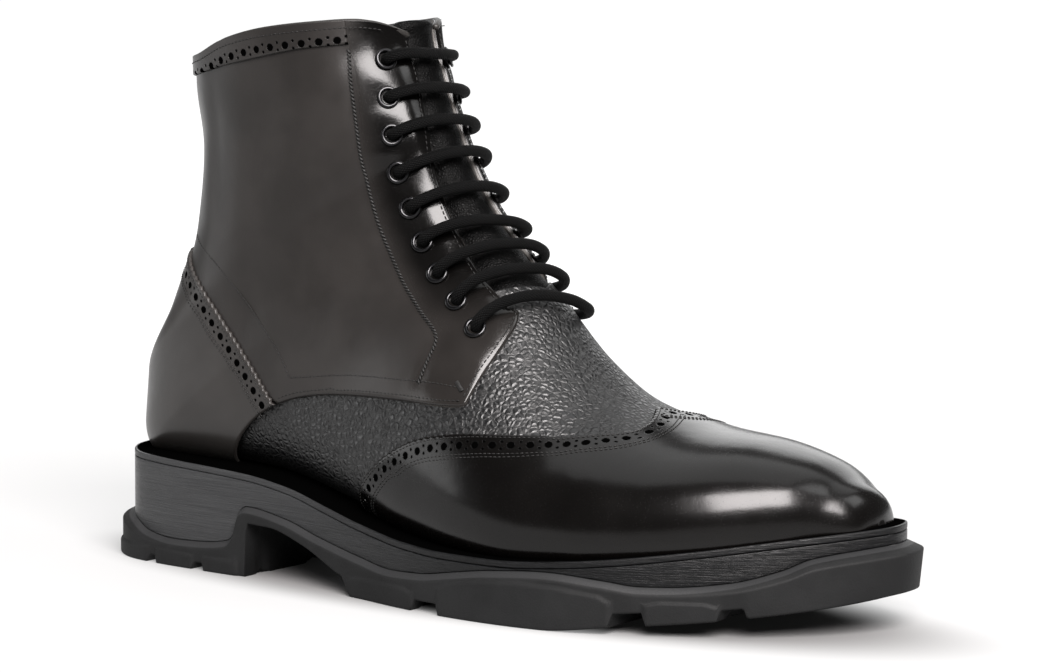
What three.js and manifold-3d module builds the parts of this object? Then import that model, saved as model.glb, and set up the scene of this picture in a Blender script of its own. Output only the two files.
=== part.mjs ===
// Lace-up ankle boot with a wing tip, for the right foot, standing empty on its sole.
// Millimetres. +X runs to the toe, +Y to the inner side of the foot and +Z up. The floor is z = 0.
import * as THREE from "three";
import { mergeVertices } from "three/addons/utils/BufferGeometryUtils.js";
import Module from "manifold-3d";

const wasm = await Module();
wasm.setup();

// Driving dimensions
const soleLength = 301; // midsole, back of the heel to the tip of the toe
const soleWidth = 107; // midsole across the ball
const heelHeight = 38; // top of the welt above the floor, at the back of the heel
const heelInset = 3.4; // back of the upper inside the back of the midsole
const upperLength = 292; // upper, back of the heel to the tip of the toe
const upperWidth = 98; // upper across the ball
const bootHeight = 192; // top of the collar above the floor, at its front
const collarDrop = 15; // how far the collar dips from its front to its back
const wall = 2.2; // vamp leather and lining together
const quarterThickness = 1.3; // smooth leather of the quarters, over the vamp
const capThickness = 1.3; // wing tip, over the vamp
const trimThickness = 0.9; // counter and collar band, over the quarters
const tongueThickness = 2.0;
const tongueDrop = 1; // top of the tongue below the top of the collar
const weltThickness = 2.2;
const weltReach = 6; // welt standing out round the upper
const weltSeat = 12; // welt under the upper and the insole
const insoleThickness = 4;
const rimReach = 1.8; // rubber standing out round the sides of the midsole
const heelFlare = 4.6; // rubber standing out behind the heel
const toeBumper = 5.4; // rubber standing out before the toe
const rimChamfer = 2.4; // height of the slope along the rubber's top edge
const lugRelief = 0.8; // raised faces of the lugs on the side of the rubber
const grooveDepth = 4.2; // gaps between the lugs
const eyeletCount = 9; // on each side
const eyeletSpacing = 12.8;
const eyeletHole = 4.8;
const eyeletFlange = 7.6;
const eyeletBarrelWall = 0.35;
const eyeletFlangeHeight = 0.6;
const laceDiameter = 3.8;
const gap = 0.3; // clearance between pieces that touch

// Closed meshes as solids, and back

function solidOf(geometry) {
  const bare = geometry.index ? geometry.toNonIndexed() : geometry.clone();
  bare.deleteAttribute("normal");
  bare.deleteAttribute("uv");
  const merged = mergeVertices(bare, 1e-3);
  return new wasm.Manifold(
    new wasm.Mesh({
      numProp: 3,
      vertProperties: merged.attributes.position.array,
      triVerts: new Uint32Array(merged.index.array),
    }),
  );
}

function geometryOf(solid) {
  const mesh = solid.getMesh();
  const geometry = new THREE.BufferGeometry();
  geometry.setAttribute("position", new THREE.BufferAttribute(new Float32Array(mesh.vertProperties), 3));
  geometry.setIndex(new THREE.BufferAttribute(new Uint32Array(mesh.triVerts), 1));
  const flat = geometry.toNonIndexed();
  flat.computeVertexNormals();
  return flat;
}

function geometryOfTriangles(corners) {
  const geometry = new THREE.BufferGeometry();
  const positions = corners.flatMap((corner) => [corner.x, corner.y, corner.z]);
  geometry.setAttribute("position", new THREE.Float32BufferAttribute(positions, 3));
  return geometry;
}

// A smooth column of a table, with no overshoot between its rows
function smoothColumn(rows, place, column) {
  const x = rows.map((row) => row[place]);
  const y = rows.map((row) => row[column]);
  const last = x.length - 1;
  const slopes = x.slice(1).map((next, i) => (y[i + 1] - y[i]) / (next - x[i]));
  const tangents = x.map((_, i) => {
    const before = slopes[Math.max(i - 1, 0)];
    const after = slopes[Math.min(i, last - 1)];
    return before * after <= 0 ? 0 : (2 * before * after) / (before + after);
  });
  return (at) => {
    const t = THREE.MathUtils.clamp(at, x[0], x[last]);
    let i = 0;
    while (i < last - 1 && t > x[i + 1]) i += 1;
    const span = x[i + 1] - x[i];
    const s = (t - x[i]) / span;
    const rise = s * s * (3 - 2 * s);
    const start = s * (1 - s) * (1 - s);
    const end = s * s * (1 - s);
    return y[i] + (y[i + 1] - y[i]) * rise + span * (tangents[i] * start - tangents[i + 1] * end);
  };
}

// Plan of the midsole. at is a share of its length from the heel. outer and inner are shares of its width,
// measured from the middle of its box.
const planRows = [
  { at: 0.0116, outer: 0.136, inner: 0.173 },
  { at: 0.05, outer: 0.257, inner: 0.285 },
  { at: 0.11, outer: 0.313, inner: 0.341 },
  { at: 0.186, outer: 0.336, inner: 0.355 },
  { at: 0.269, outer: 0.346, inner: 0.341 },
  { at: 0.352, outer: 0.369, inner: 0.332 },
  { at: 0.435, outer: 0.416, inner: 0.346 },
  { at: 0.502, outer: 0.463, inner: 0.383 },
  { at: 0.575, outer: 0.495, inner: 0.435 },
  { at: 0.648, outer: 0.5, inner: 0.481 },
  { at: 0.714, outer: 0.477, inner: 0.5 },
  { at: 0.781, outer: 0.421, inner: 0.491 },
  { at: 0.847, outer: 0.336, inner: 0.463 },
  { at: 0.907, outer: 0.229, inner: 0.409 },
  { at: 0.957, outer: 0.098, inner: 0.332 },
  { at: 0.987, outer: -0.023, inner: 0.243 },
];
const heelTipAcross = 0.023;
const toeTipAcross = 0.107;
const planSamples = 640;

const soleBack = -(soleLength + toeBumper - heelFlare) / 2;
const soleX = (at) => soleBack + at * soleLength;
const soleShare = (x) => (x - soleBack) / soleLength;

function planCurve() {
  const outer = planRows.map((row) => new THREE.Vector3(soleX(row.at), -row.outer * soleWidth, 0));
  const inner = planRows.map((row) => new THREE.Vector3(soleX(row.at), row.inner * soleWidth, 0));
  const heelTip = new THREE.Vector3(soleX(0), heelTipAcross * soleWidth, 0);
  const toeTip = new THREE.Vector3(soleX(1), toeTipAcross * soleWidth, 0);
  const points = [heelTip, ...outer, toeTip, ...inner.reverse()];
  return new THREE.CatmullRomCurve3(points, true, "centripetal").getSpacedPoints(planSamples).slice(0, -1);
}
const midsolePlan = planCurve();

// The plan moved outwards by reach(x), as two sides over one stretch of x
function planWith(reach) {
  const count = midsolePlan.length;
  const ring = midsolePlan.map((point, i) => {
    const before = midsolePlan[(i + count - 1) % count];
    const after = midsolePlan[(i + 1) % count];
    const out = new THREE.Vector2(after.y - before.y, before.x - after.x).normalize();
    return out.multiplyScalar(reach(point.x)).add(new THREE.Vector2(point.x, point.y));
  });
  const xs = ring.map((point) => point.x);
  const heel = xs.indexOf(Math.min(...xs));
  const toe = xs.indexOf(Math.max(...xs));
  const walk = (from, to) => {
    const side = [ring[from]];
    for (let i = from; i !== to; i = (i + 1) % count) side.push(ring[(i + 1) % count]);
    return side;
  };
  const acrossOn = (side) => (x) => {
    let i = 0;
    while (i < side.length - 2 && side[i + 1].x < x) i += 1;
    const share = (x - side[i].x) / (side[i + 1].x - side[i].x || 1);
    return THREE.MathUtils.lerp(side[i].y, side[i + 1].y, THREE.MathUtils.clamp(share, 0, 1));
  };
  return {
    back: ring[heel],
    front: ring[toe],
    outer: acrossOn(walk(heel, toe)),
    inner: acrossOn(walk(toe, heel).reverse()),
  };
}

// Side view of the sole. at is a share of the midsole's length, and up a share of the heel height.
const topRows = [
  { at: 0, up: 1 },
  { at: 0.12, up: 0.98 },
  { at: 0.23, up: 0.94 },
  { at: 0.302, up: 0.865 },
  { at: 0.365, up: 0.742 },
  { at: 0.425, up: 0.642 },
  { at: 0.495, up: 0.568 },
  { at: 0.558, up: 0.542 },
  { at: 0.625, up: 0.542 },
  { at: 0.71, up: 0.585 },
  { at: 0.774, up: 0.642 },
  { at: 0.854, up: 0.734 },
  { at: 0.924, up: 0.822 },
  { at: 1, up: 0.9 },
];
const waveRows = [
  { at: 0, up: 0.42 },
  { at: 0.045, up: 0.36 },
  { at: 0.08, up: 0.272 },
  { at: 0.118, up: 0.243 },
  { at: 0.17, up: 0.258 },
  { at: 0.212, up: 0.305 },
  { at: 0.224, up: 0.4 },
  { at: 0.232, up: 0.6 },
  { at: 0.242, up: 0.64 },
  { at: 0.302, up: 0.575 },
  { at: 0.353, up: 0.465 },
  { at: 0.425, up: 0.355 },
  { at: 0.475, up: 0.305 },
  { at: 0.525, up: 0.323 },
  { at: 0.578, up: 0.39 },
  { at: 0.625, up: 0.445 },
  { at: 0.697, up: 0.485 },
  { at: 0.755, up: 0.45 },
  { at: 0.795, up: 0.415 },
  { at: 0.825, up: 0.42 },
  { at: 0.88, up: 0.468 },
  { at: 0.923, up: 0.572 },
  { at: 0.948, up: 0.67 },
  { at: 1, up: 0.75 },
];
const breastAt = 0.2455;
const treadRows = [
  { at: -0.02, up: 0 },
  { at: breastAt - 0.0015, up: 0 },
  { at: breastAt, up: 0.49 },
  { at: 0.28, up: 0.483 },
  { at: 0.33, up: 0.38 },
  { at: 0.388, up: 0.19 },
  { at: 0.405, up: 0.14 },
  { at: 0.418, up: 0 },
  { at: 0.69, up: 0 },
  { at: 0.767, up: 0.066 },
  { at: 0.854, up: 0.14 },
  { at: 0.935, up: 0.235 },
  { at: 1, up: 0.35 },
  { at: 1.02, up: 0.44 },
];

const heightLine = (rows) => {
  const column = smoothColumn(rows, "at", "up");
  return (x) => heelHeight * column(soleShare(x));
};
const weltTop = heightLine(topRows);
const waveTop = heightLine(waveRows);
const treadBottom = heightLine(treadRows);

// How far the rubber stands out, which grows towards the back of the heel and the tip of the toe
function rubberReach(x) {
  const heel = 1 - THREE.MathUtils.smoothstep(soleShare(x), 0, 0.16);
  const toe = THREE.MathUtils.smoothstep(soleShare(x), 0.8, 1);
  return rimReach + (heelFlare - rimReach) * heel + (toeBumper - rimReach) * toe;
}

// Cross-cuts along the sole, closer at the tips and at the breast of the heel
const tipSteps = [0, 0.6, 3, 7.5, 15];
const middleStep = 19;
const breastSteps = [-14, -8, -4.6, -2.8, -0.45, 0, 4, 11];

function stations(back, front) {
  const breast = soleX(breastAt);
  const reach = tipSteps[tipSteps.length - 1];
  const first = soleBack + reach;
  const last = soleBack + soleLength - reach;
  const count = Math.round((last - first) / middleStep);
  const even = Array.from({ length: count + 1 }, (_, i) => first + ((last - first) * i) / count);
  const near = breastSteps.map((step) => breast + step);
  const clear = even.filter((x) => x < near[0] - 3 || x > near[near.length - 1] + 3);
  const tips = tipSteps.slice(0, -1).map((step) => step / reach);
  return [
    ...tips.map((share) => THREE.MathUtils.lerp(back, first, share)),
    ...[...clear, ...near].sort((a, b) => a - b),
    ...tips.map((share) => THREE.MathUtils.lerp(front, last, share)).reverse(),
  ];
}

// A solid of outlines stacked from the top down, each with its plan and its height along x.
// Its top and its bottom run straight across.
function plank(levels) {
  const rings = levels.map(({ plan, height }) => {
    const xs = stations(plan.back.x, plan.front.x);
    return xs.map((x, i) => {
      const tip = i === 0 ? plan.back : i === xs.length - 1 ? plan.front : null;
      const outer = tip ? tip.y : plan.outer(x);
      const inner = tip ? tip.y : plan.inner(x);
      return [new THREE.Vector3(x, outer, height(x)), new THREE.Vector3(x, inner, height(x))];
    });
  });
  const corners = [];
  const triangle = (a, b, c) => {
    if (Math.min(a.distanceTo(b), b.distanceTo(c), c.distanceTo(a)) > 2e-3) corners.push(a, b, c);
  };
  const quad = (a, b, c, d) => {
    triangle(a, b, c);
    triangle(a, c, d);
  };
  const top = rings[0];
  const bottom = rings[rings.length - 1];
  for (let i = 0; i < top.length - 1; i += 1) {
    quad(top[i][0], top[i + 1][0], top[i + 1][1], top[i][1]);
    quad(bottom[i][0], bottom[i][1], bottom[i + 1][1], bottom[i + 1][0]);
    for (let k = 0; k < rings.length - 1; k += 1) {
      const [upper, lower] = [rings[k], rings[k + 1]];
      quad(upper[i][0], lower[i][0], lower[i + 1][0], upper[i + 1][0]);
      quad(upper[i][1], upper[i + 1][1], lower[i + 1][1], lower[i][1]);
    }
  }
  return solidOf(geometryOfTriangles(corners));
}

// An outline drawn in the side view, cut straight across the boot
function sideCut(shape, halfDepth = soleWidth) {
  const geometry = new THREE.ExtrudeGeometry(shape, { depth: 2 * halfDepth, bevelEnabled: false });
  geometry.rotateX(Math.PI / 2);
  geometry.translate(0, halfDepth, 0);
  return solidOf(geometry);
}

// An outline drawn in the plan, cut straight down through the boot
function planCut(shape) {
  const geometry = new THREE.ExtrudeGeometry(shape, { depth: 2 * bootHeight, bevelEnabled: false });
  geometry.translate(0, 0, -bootHeight / 2);
  return solidOf(geometry);
}

// An outline drawn in the front view, cut through the front of the shaft and the instep only
function frontCut(shape, back, front) {
  const geometry = new THREE.ExtrudeGeometry(shape, { depth: front - back, bevelEnabled: false });
  geometry.rotateX(Math.PI / 2);
  geometry.rotateZ(Math.PI / 2);
  geometry.translate(back, 0, 0);
  return solidOf(geometry);
}

// Sections of the upper from the toe, over the instep, back round the heel and up the shaft.
// The first table has the top point and the bottom point of each, as shares of the upper's length and of
// the boot's height.
const ridgeRows = [
  { topAt: 0.9945, topUp: 0.193, lowAt: 0.9945, lowUp: 0.173 },
  { topAt: 0.991, topUp: 0.211, lowAt: 0.991, lowUp: 0.158 },
  { topAt: 0.983, topUp: 0.227, lowAt: 0.983, lowUp: 0.148 },
  { topAt: 0.963, topUp: 0.244, lowAt: 0.963, lowUp: 0.141 },
  { topAt: 0.928, topUp: 0.274, lowAt: 0.928, lowUp: 0.131 },
  { topAt: 0.868, topUp: 0.298, lowAt: 0.868, lowUp: 0.117 },
  { topAt: 0.793, topUp: 0.311, lowAt: 0.793, lowUp: 0.104 },
  { topAt: 0.717, topUp: 0.341, lowAt: 0.717, lowUp: 0.091 },
  { topAt: 0.68, topUp: 0.368, lowAt: 0.642, lowUp: 0.083 },
  { topAt: 0.632, topUp: 0.432, lowAt: 0.56, lowUp: 0.088 },
  { topAt: 0.589, topUp: 0.511, lowAt: 0.464, lowUp: 0.104 },
  { topAt: 0.552, topUp: 0.568, lowAt: 0.351, lowUp: 0.141 },
  { topAt: 0.519, topUp: 0.618, lowAt: 0.214, lowUp: 0.177 },
  { topAt: 0.483, topUp: 0.683, lowAt: 0.022, lowUp: 0.188 },
  { topAt: 0.4595, topUp: 0.739, lowAt: 0.0055, lowUp: 0.23 },
  { topAt: 0.446, topUp: 0.781, lowAt: 0.0085, lowUp: 0.323 },
  { topAt: 0.4325, topUp: 0.823, lowAt: 0.05, lowUp: 0.442 },
  { topAt: 0.417, topUp: 0.87, lowAt: 0.09, lowUp: 0.599 },
  { topAt: 0.404, topUp: 0.916, lowAt: 0.103, lowUp: 0.755 },
  { topAt: 0.389, topUp: 0.969, lowAt: 0.094, lowUp: 0.875 },
  { topAt: 0.381, topUp: 1.059, lowAt: 0.093, lowUp: 1.019 },
];
// The second has the form of each. middle, half and ridge are shares of the upper's width. widest is the
// share of the way up where it is widest, and roof and floor say how square it is above and below that.
const sectionRows = [
  { middle: 0.118, half: 0.04, ridge: 0, widest: 0.5, roof: 2, floor: 2 },
  { middle: 0.118, half: 0.095, ridge: 0, widest: 0.4, roof: 2, floor: 2.4 },
  { middle: 0.12, half: 0.13, ridge: -0.02, widest: 0.36, roof: 2, floor: 3 },
  { middle: 0.122, half: 0.195, ridge: -0.04, widest: 0.33, roof: 2.1, floor: 3.4 },
  { middle: 0.105, half: 0.295, ridge: -0.04, widest: 0.31, roof: 2.2, floor: 3.8 },
  { middle: 0.068, half: 0.386, ridge: -0.01, widest: 0.3, roof: 2.2, floor: 4 },
  { middle: 0.038, half: 0.457, ridge: 0.02, widest: 0.28, roof: 2.1, floor: 4 },
  { middle: 0.01, half: 0.49, ridge: 0.05, widest: 0.27, roof: 1.95, floor: 4 },
  { middle: -0.011, half: 0.486, ridge: 0.07, widest: 0.27, roof: 1.85, floor: 4 },
  { middle: -0.034, half: 0.455, ridge: 0.075, widest: 0.28, roof: 1.85, floor: 3.6 },
  { middle: -0.041, half: 0.4, ridge: 0.075, widest: 0.3, roof: 1.9, floor: 3.3 },
  { middle: -0.024, half: 0.35, ridge: 0.06, widest: 0.36, roof: 2, floor: 3 },
  { middle: 0.002, half: 0.326, ridge: 0.045, widest: 0.42, roof: 2.1, floor: 2.8 },
  { middle: 0.015, half: 0.32, ridge: 0.03, widest: 0.46, roof: 2.2, floor: 2.6 },
  { middle: 0.02, half: 0.318, ridge: 0.02, widest: 0.48, roof: 2.3, floor: 2.4 },
  { middle: 0.02, half: 0.318, ridge: 0.01, widest: 0.5, roof: 2.3, floor: 2.3 },
  { middle: 0.02, half: 0.32, ridge: 0, widest: 0.5, roof: 2.4, floor: 2.3 },
  { middle: 0.02, half: 0.325, ridge: 0, widest: 0.5, roof: 2.4, floor: 2.3 },
  { middle: 0.02, half: 0.332, ridge: 0, widest: 0.5, roof: 2.4, floor: 2.3 },
  { middle: 0.02, half: 0.342, ridge: 0, widest: 0.5, roof: 2.4, floor: 2.3 },
  { middle: 0.02, half: 0.35, ridge: 0, widest: 0.5, roof: 2.4, floor: 2.3 },
];
const upperRows = ridgeRows.map((row, i) => ({ ...row, ...sectionRows[i] }));
const rowSteps = 1; // cuts of the skin for each row of the table
const aroundSteps = 20;

const upperBack = soleBack + heelInset;
const upperX = (at) => upperBack + at * upperLength;
const upperRow = upperRows.map((row, i) => ({ ...row, i }));
const upperColumn = {};
for (const name of Object.keys(upperRows[0])) upperColumn[name] = smoothColumn(upperRow, "i", name);

// Point of the skin. u runs over the rows, and v once round a section from the outer side over the top.
function skinPoint(u, v) {
  const at = (name) => upperColumn[name](u);
  const low = new THREE.Vector3(upperX(at("lowAt")), 0, at("lowUp") * bootHeight);
  const top = new THREE.Vector3(upperX(at("topAt")), 0, at("topUp") * bootHeight);
  const angle = 2 * Math.PI * v;
  const rise = Math.sin(angle);
  const over = rise >= 0;
  const power = 2 / (over ? at("roof") : at("floor"));
  const up = Math.abs(rise) ** power;
  const across = -Math.sign(Math.cos(angle)) * Math.abs(Math.cos(angle)) ** power;
  const widest = at("widest");
  const along = over ? widest + (1 - widest) * up : widest * (1 - up);
  const point = low.lerp(top, along);
  point.y = upperWidth * (at("middle") + at("half") * across + (over ? at("ridge") * up * up : 0));
  return point;
}

const lastRow = upperRows.length - 1;
function skinNormal(u, v) {
  if (u <= 0) return new THREE.Vector3(1, 0, 0);
  const step = 0.02;
  const turn = 0.004;
  const along = skinPoint(Math.min(u + step, lastRow), v).sub(skinPoint(u - step, v));
  const around = skinPoint(u, v + turn).sub(skinPoint(u, v - turn));
  return around.cross(along).normalize();
}

// Point of a skin that lies out from the upper's
const skinOut = (u, v, out) => skinPoint(u, v).addScaledVector(skinNormal(u, v), out);

// A closed solid whose skin lies out from the upper's, from the toe to a row of the table
function form(out, endRow = lastRow) {
  const cutCount = Math.round(endRow * rowSteps);
  const rings = Array.from({ length: cutCount + 1 }, (_, i) => {
    const u = (endRow * i) / cutCount;
    return Array.from({ length: aroundSteps }, (_, j) => {
      return skinOut(u, j / aroundSteps, out);
    });
  });
  const corners = [];
  const middleOf = (ring) => {
    return ring.reduce((sum, point) => sum.add(point), new THREE.Vector3()).divideScalar(ring.length);
  };
  const toe = middleOf(rings[0]);
  const rim = middleOf(rings[cutCount]);
  for (let j = 0; j < aroundSteps; j += 1) {
    const next = (j + 1) % aroundSteps;
    corners.push(toe, rings[0][next], rings[0][j]);
    corners.push(rim, rings[cutCount][j], rings[cutCount][next]);
    for (let i = 0; i < cutCount; i += 1) {
      const [a, b, c, d] = [rings[i][j], rings[i][next], rings[i + 1][next], rings[i + 1][j]];
      corners.push(a, b, c, a, c, d);
    }
  }
  return solidOf(geometryOfTriangles(corners));
}

// A sheet from one skin out to another, over some of the rows and part of the way round
function sheet(inside, outside, rows, turns) {
  const rowCount = Math.round((rows[1] - rows[0]) * rowSteps);
  const firstTurn = Math.ceil(turns[0] * aroundSteps + 0.01);
  const lastTurn = Math.floor(turns[1] * aroundSteps - 0.01);
  const between = Array.from({ length: lastTurn - firstTurn + 1 }, (_, j) => (firstTurn + j) / aroundSteps);
  const vs = [turns[0], ...between, turns[1]];
  const us = Array.from({ length: rowCount + 1 }, (_, i) => rows[0] + i / rowSteps);
  const face = (out) => us.map((u) => vs.map((v) => skinOut(u, v, out)));
  const [low, high] = [face(inside), face(outside)];
  const corners = [];
  const quad = (a, b, c, d) => corners.push(a, c, b, a, d, c);
  const end = vs.length - 1;
  for (let i = 0; i < rowCount; i += 1) {
    for (let j = 0; j < end; j += 1) {
      quad(high[i][j], high[i + 1][j], high[i + 1][j + 1], high[i][j + 1]);
      quad(low[i][j], low[i][j + 1], low[i + 1][j + 1], low[i + 1][j]);
    }
    quad(low[i][0], low[i + 1][0], high[i + 1][0], high[i][0]);
    quad(low[i][end], high[i][end], high[i + 1][end], low[i + 1][end]);
  }
  for (let j = 0; j < end; j += 1) {
    quad(low[0][j], high[0][j], high[0][j + 1], low[0][j + 1]);
    quad(low[rowCount][j], low[rowCount][j + 1], high[rowCount][j + 1], high[rowCount][j]);
  }
  return solidOf(geometryOfTriangles(corners));
}

// Lines on the upper, drawn in the side view. at is a share of its length and up of the boot's height.
const spot = (row) => new THREE.Vector2(upperX(row.at), row.up * bootHeight);
const smoothLine = (points, steps) => new THREE.SplineCurve(points).getPoints(steps);

const collarRows = [
  { at: 0.03, drop: 1.03 },
  { at: 0.07, drop: 1 },
  { at: 0.14, drop: 0.83 },
  { at: 0.196, drop: 0.45 },
  { at: 0.252, drop: 0.21 },
  { at: 0.322, drop: 0.05 },
  { at: 0.357, drop: 0 },
  { at: 0.38, drop: 0.08 },
  { at: 0.391, drop: 0.2 },
  { at: 0.397, drop: 0.45 },
  { at: 0.4, drop: 0.9 },
];
const collarSteps = 10;
const collarLine = smoothLine(
  collarRows.map((row) => new THREE.Vector2(upperX(row.at), bootHeight - row.drop * collarDrop)),
  collarSteps,
);

const sky = 1.3 * bootHeight;
const farBack = soleBack - 40;
const farFront = -farBack;
const corner = (x, z) => new THREE.Vector2(x, z);

const aboveCollar = sideCut(
  new THREE.Shape([
    corner(farBack, collarLine[0].y),
    ...collarLine,
    corner(farFront, collarLine[collarSteps].y),
    corner(farFront, sky),
    corner(farBack, sky),
  ]),
);

// All that lies below the seat of the upper on the welt
function belowLine(height) {
  const xs = stations(soleBack, soleBack + soleLength);
  const line = xs.map((x) => corner(x, height(x)));
  return sideCut(
    new THREE.Shape([
      corner(farBack, line[0].y),
      ...line,
      corner(farFront, line[line.length - 1].y),
      corner(farFront, -bootHeight),
      corner(farBack, -bootHeight),
    ]),
  );
}
const belowSeat = belowLine((x) => weltTop(x) + gap);

// The throat in the front view. up is a share of the boot's height, and middle and half, which are the place
// and the half width of the throat, are shares of the upper's width.
const throatRows = [
  { up: 0.47, middle: 0.056, half: 0.25 },
  { up: 0.505, middle: 0.046, half: 0.194 },
  { up: 0.568, middle: 0.007, half: 0.133 },
  { up: 0.661, middle: 0.003, half: 0.097 },
  { up: 0.755, middle: 0.008, half: 0.093 },
  { up: 0.838, middle: 0.028, half: 0.098 },
  { up: 0.891, middle: 0.049, half: 0.096 },
  { up: 1.1, middle: 0.066, half: 0.094 },
];
const throatColumn = {};
for (const name of ["middle", "half"]) throatColumn[name] = smoothColumn(throatRows, "up", name);
const throatMiddle = (z) => upperWidth * throatColumn.middle(z / bootHeight);
const throatHalf = (z) => upperWidth * throatColumn.half(z / bootHeight);
const throatFootUp = 0.44;
const shaftBackShare = 0.3; // how far back the cuts through the front of the shaft reach

function throatShape() {
  const bottom = throatFootUp * bootHeight;
  const count = 7;
  const zs = Array.from({ length: count + 1 }, (_, i) => bottom + ((sky - bottom) * i) / count);
  const left = zs.map((z) => corner(throatMiddle(z) - throatHalf(z), z));
  const right = zs.map((z) => corner(throatMiddle(z) + throatHalf(z), z));
  return new THREE.Shape([...left, ...right.reverse()]);
}
const throatCut = frontCut(throatShape(), upperX(shaftBackShare), farFront);

// Where the skin meets a line drawn straight across the boot, on its outer side or its inner side
function skinAcross(x, z, side) {
  const miss = (u, v) => {
    const p = skinPoint(u, v);
    return new THREE.Vector2(p.x - x, p.z - z);
  };
  const firstTurn = side < 0 ? 0.02 : 0.28;
  let [u, v, least] = [0, 0, Infinity];
  for (let row = Math.floor(lastRow / 3); row <= lastRow; row += 0.5) {
    for (let turn = 0; turn < 0.2; turn += 0.02) {
      const far = miss(row, firstTurn + turn).length();
      if (far < least) [u, v, least] = [row, firstTurn + turn, far];
    }
  }
  const step = 1e-3;
  for (let round = 0; round < 12; round += 1) {
    const here = miss(u, v);
    const du = miss(u + step, v).sub(here).divideScalar(step);
    const dv = miss(u, v + step).sub(here).divideScalar(step);
    const det = du.x * dv.y - dv.x * du.y;
    u -= (here.x * dv.y - dv.x * here.y) / det;
    v -= (du.x * here.y - here.x * du.y) / det;
  }
  return { u, v, point: skinPoint(u, v), normal: skinNormal(u, v) };
}

// Eyelets lie along a line on each facing, an even step apart
const eyeletRows = [
  { at: 0.3845, up: 0.93 },
  { at: 0.403, up: 0.798 },
  { at: 0.4105, up: 0.734 },
  { at: 0.4455, up: 0.615 },
  { at: 0.473, up: 0.561 },
  { at: 0.509, up: 0.512 },
  { at: 0.539, up: 0.472 },
  { at: 0.56, up: 0.45 },
];
const facingSkin = gap + quarterThickness;
const eyeletLine = new THREE.SplineCurve(eyeletRows.map(spot));
const lineSteps = 400;
function eyeletSpots(side) {
  const spots = [];
  for (let i = 0; i <= lineSteps && spots.length < eyeletCount; i += 1) {
    const on = eyeletLine.getPoint(i / lineSteps);
    const here = skinAcross(on.x, on.y, side);
    const last = spots[spots.length - 1];
    if (!last || here.point.distanceTo(last.point) >= eyeletSpacing) spots.push(here);
  }
  return spots;
}
const outerSpots = eyeletSpots(-1);
const innerSpots = eyeletSpots(1);

const up = new THREE.Vector3(0, 1, 0);
const eyeletSides = 8;
const barrelRadius = eyeletHole / 2 + eyeletBarrelWall;
const holeSides = 6;
const holeRadius = (barrelRadius + gap) / Math.cos(Math.PI / holeSides);
function eyeletHoles(spots) {
  const depth = 4 * (wall + facingSkin);
  return spots.map(({ point, normal }) => {
    const geometry = new THREE.CylinderGeometry(holeRadius, holeRadius, depth, holeSides);
    geometry.applyQuaternion(new THREE.Quaternion().setFromUnitVectors(up, normal));
    geometry.translate(point.x, point.y, point.z);
    return solidOf(geometry);
  });
}
const without = (solid, cutters) => cutters.reduce((rest, cutter) => rest.subtract(cutter), solid);

// Panels of the upper
const capSkin = gap + capThickness;
const trimFrom = facingSkin + gap;
const trimTo = trimFrom + trimThickness;

const quarterFront = [
  { at: 0.559, up: 0.343 },
  { at: 0.568, up: 0.404 },
  { at: 0.5755, up: 0.448 },
  { at: 0.577, up: 0.48 },
  { at: 0.572, up: 0.5 },
  { at: 0.5695, up: 0.54 },
];
const quarterLower = [
  { at: 0.559, up: 0.343 },
  { at: 0.53, up: 0.344 },
  { at: 0.469, up: 0.346 },
  { at: 0.405, up: 0.345 },
  { at: 0.341, up: 0.339 },
  { at: 0.3, up: 0.328 },
  { at: 0.269, up: 0.313 },
];
const counterLower = [
  { at: 0.269, up: 0.313 },
  { at: 0.24, up: 0.289 },
  { at: 0.215, up: 0.259 },
  { at: 0.189, up: 0.22 },
  { at: 0.166, up: 0.17 },
];
const counterFront = [
  { at: 0.03, up: 0.66 },
  { at: 0.269, up: 0.313 },
];
const quarterRegion = sideCut(
  new THREE.Shape([
    ...smoothLine(quarterFront.map(spot), 7).reverse(),
    ...smoothLine(quarterLower.map(spot), 8).slice(1),
    ...smoothLine(counterLower.map(spot), 6).slice(1),
    corner(farBack, 0),
    corner(farBack, sky),
    corner(spot(quarterFront[5]).x, sky),
  ]),
);
const counterRegion = sideCut(
  new THREE.Shape([
    spot(counterFront[0]),
    spot(counterFront[1]),
    ...smoothLine(counterLower.map(spot), 6).slice(1),
    corner(farBack, 0),
    corner(farBack, spot(counterFront[0]).y),
  ]),
);
const bandFrontAt = 0.353; // where the collar's band ends, before the facings
const bandLower = [
  { at: 0.03, up: 0.89 },
  { at: 0.07, up: 0.889 },
  { at: 0.132, up: 0.898 },
  { at: 0.193, up: 0.917 },
  { at: 0.249, up: 0.934 },
  { at: 0.304, up: 0.95 },
  { at: bandFrontAt, up: 0.958 },
];
const bandRegion = sideCut(
  new THREE.Shape([
    ...smoothLine(bandLower.map(spot), 9),
    corner(upperX(bandFrontAt), sky),
    corner(farBack, sky),
    corner(farBack, spot(bandLower[0]).y),
  ]),
);

// The wing tip runs low along both sides, in the side view, and to a peak on the instep, in the plan
const wingSide = [
  { at: 0.393, up: 0.12 },
  { at: 0.405, up: 0.18 },
  { at: 0.439, up: 0.234 },
  { at: 0.471, up: 0.265 },
  { at: 0.51, up: 0.289 },
  { at: 0.565, up: 0.303 },
  { at: 0.614, up: 0.306 },
  { at: 0.666, up: 0.306 },
];
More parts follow.
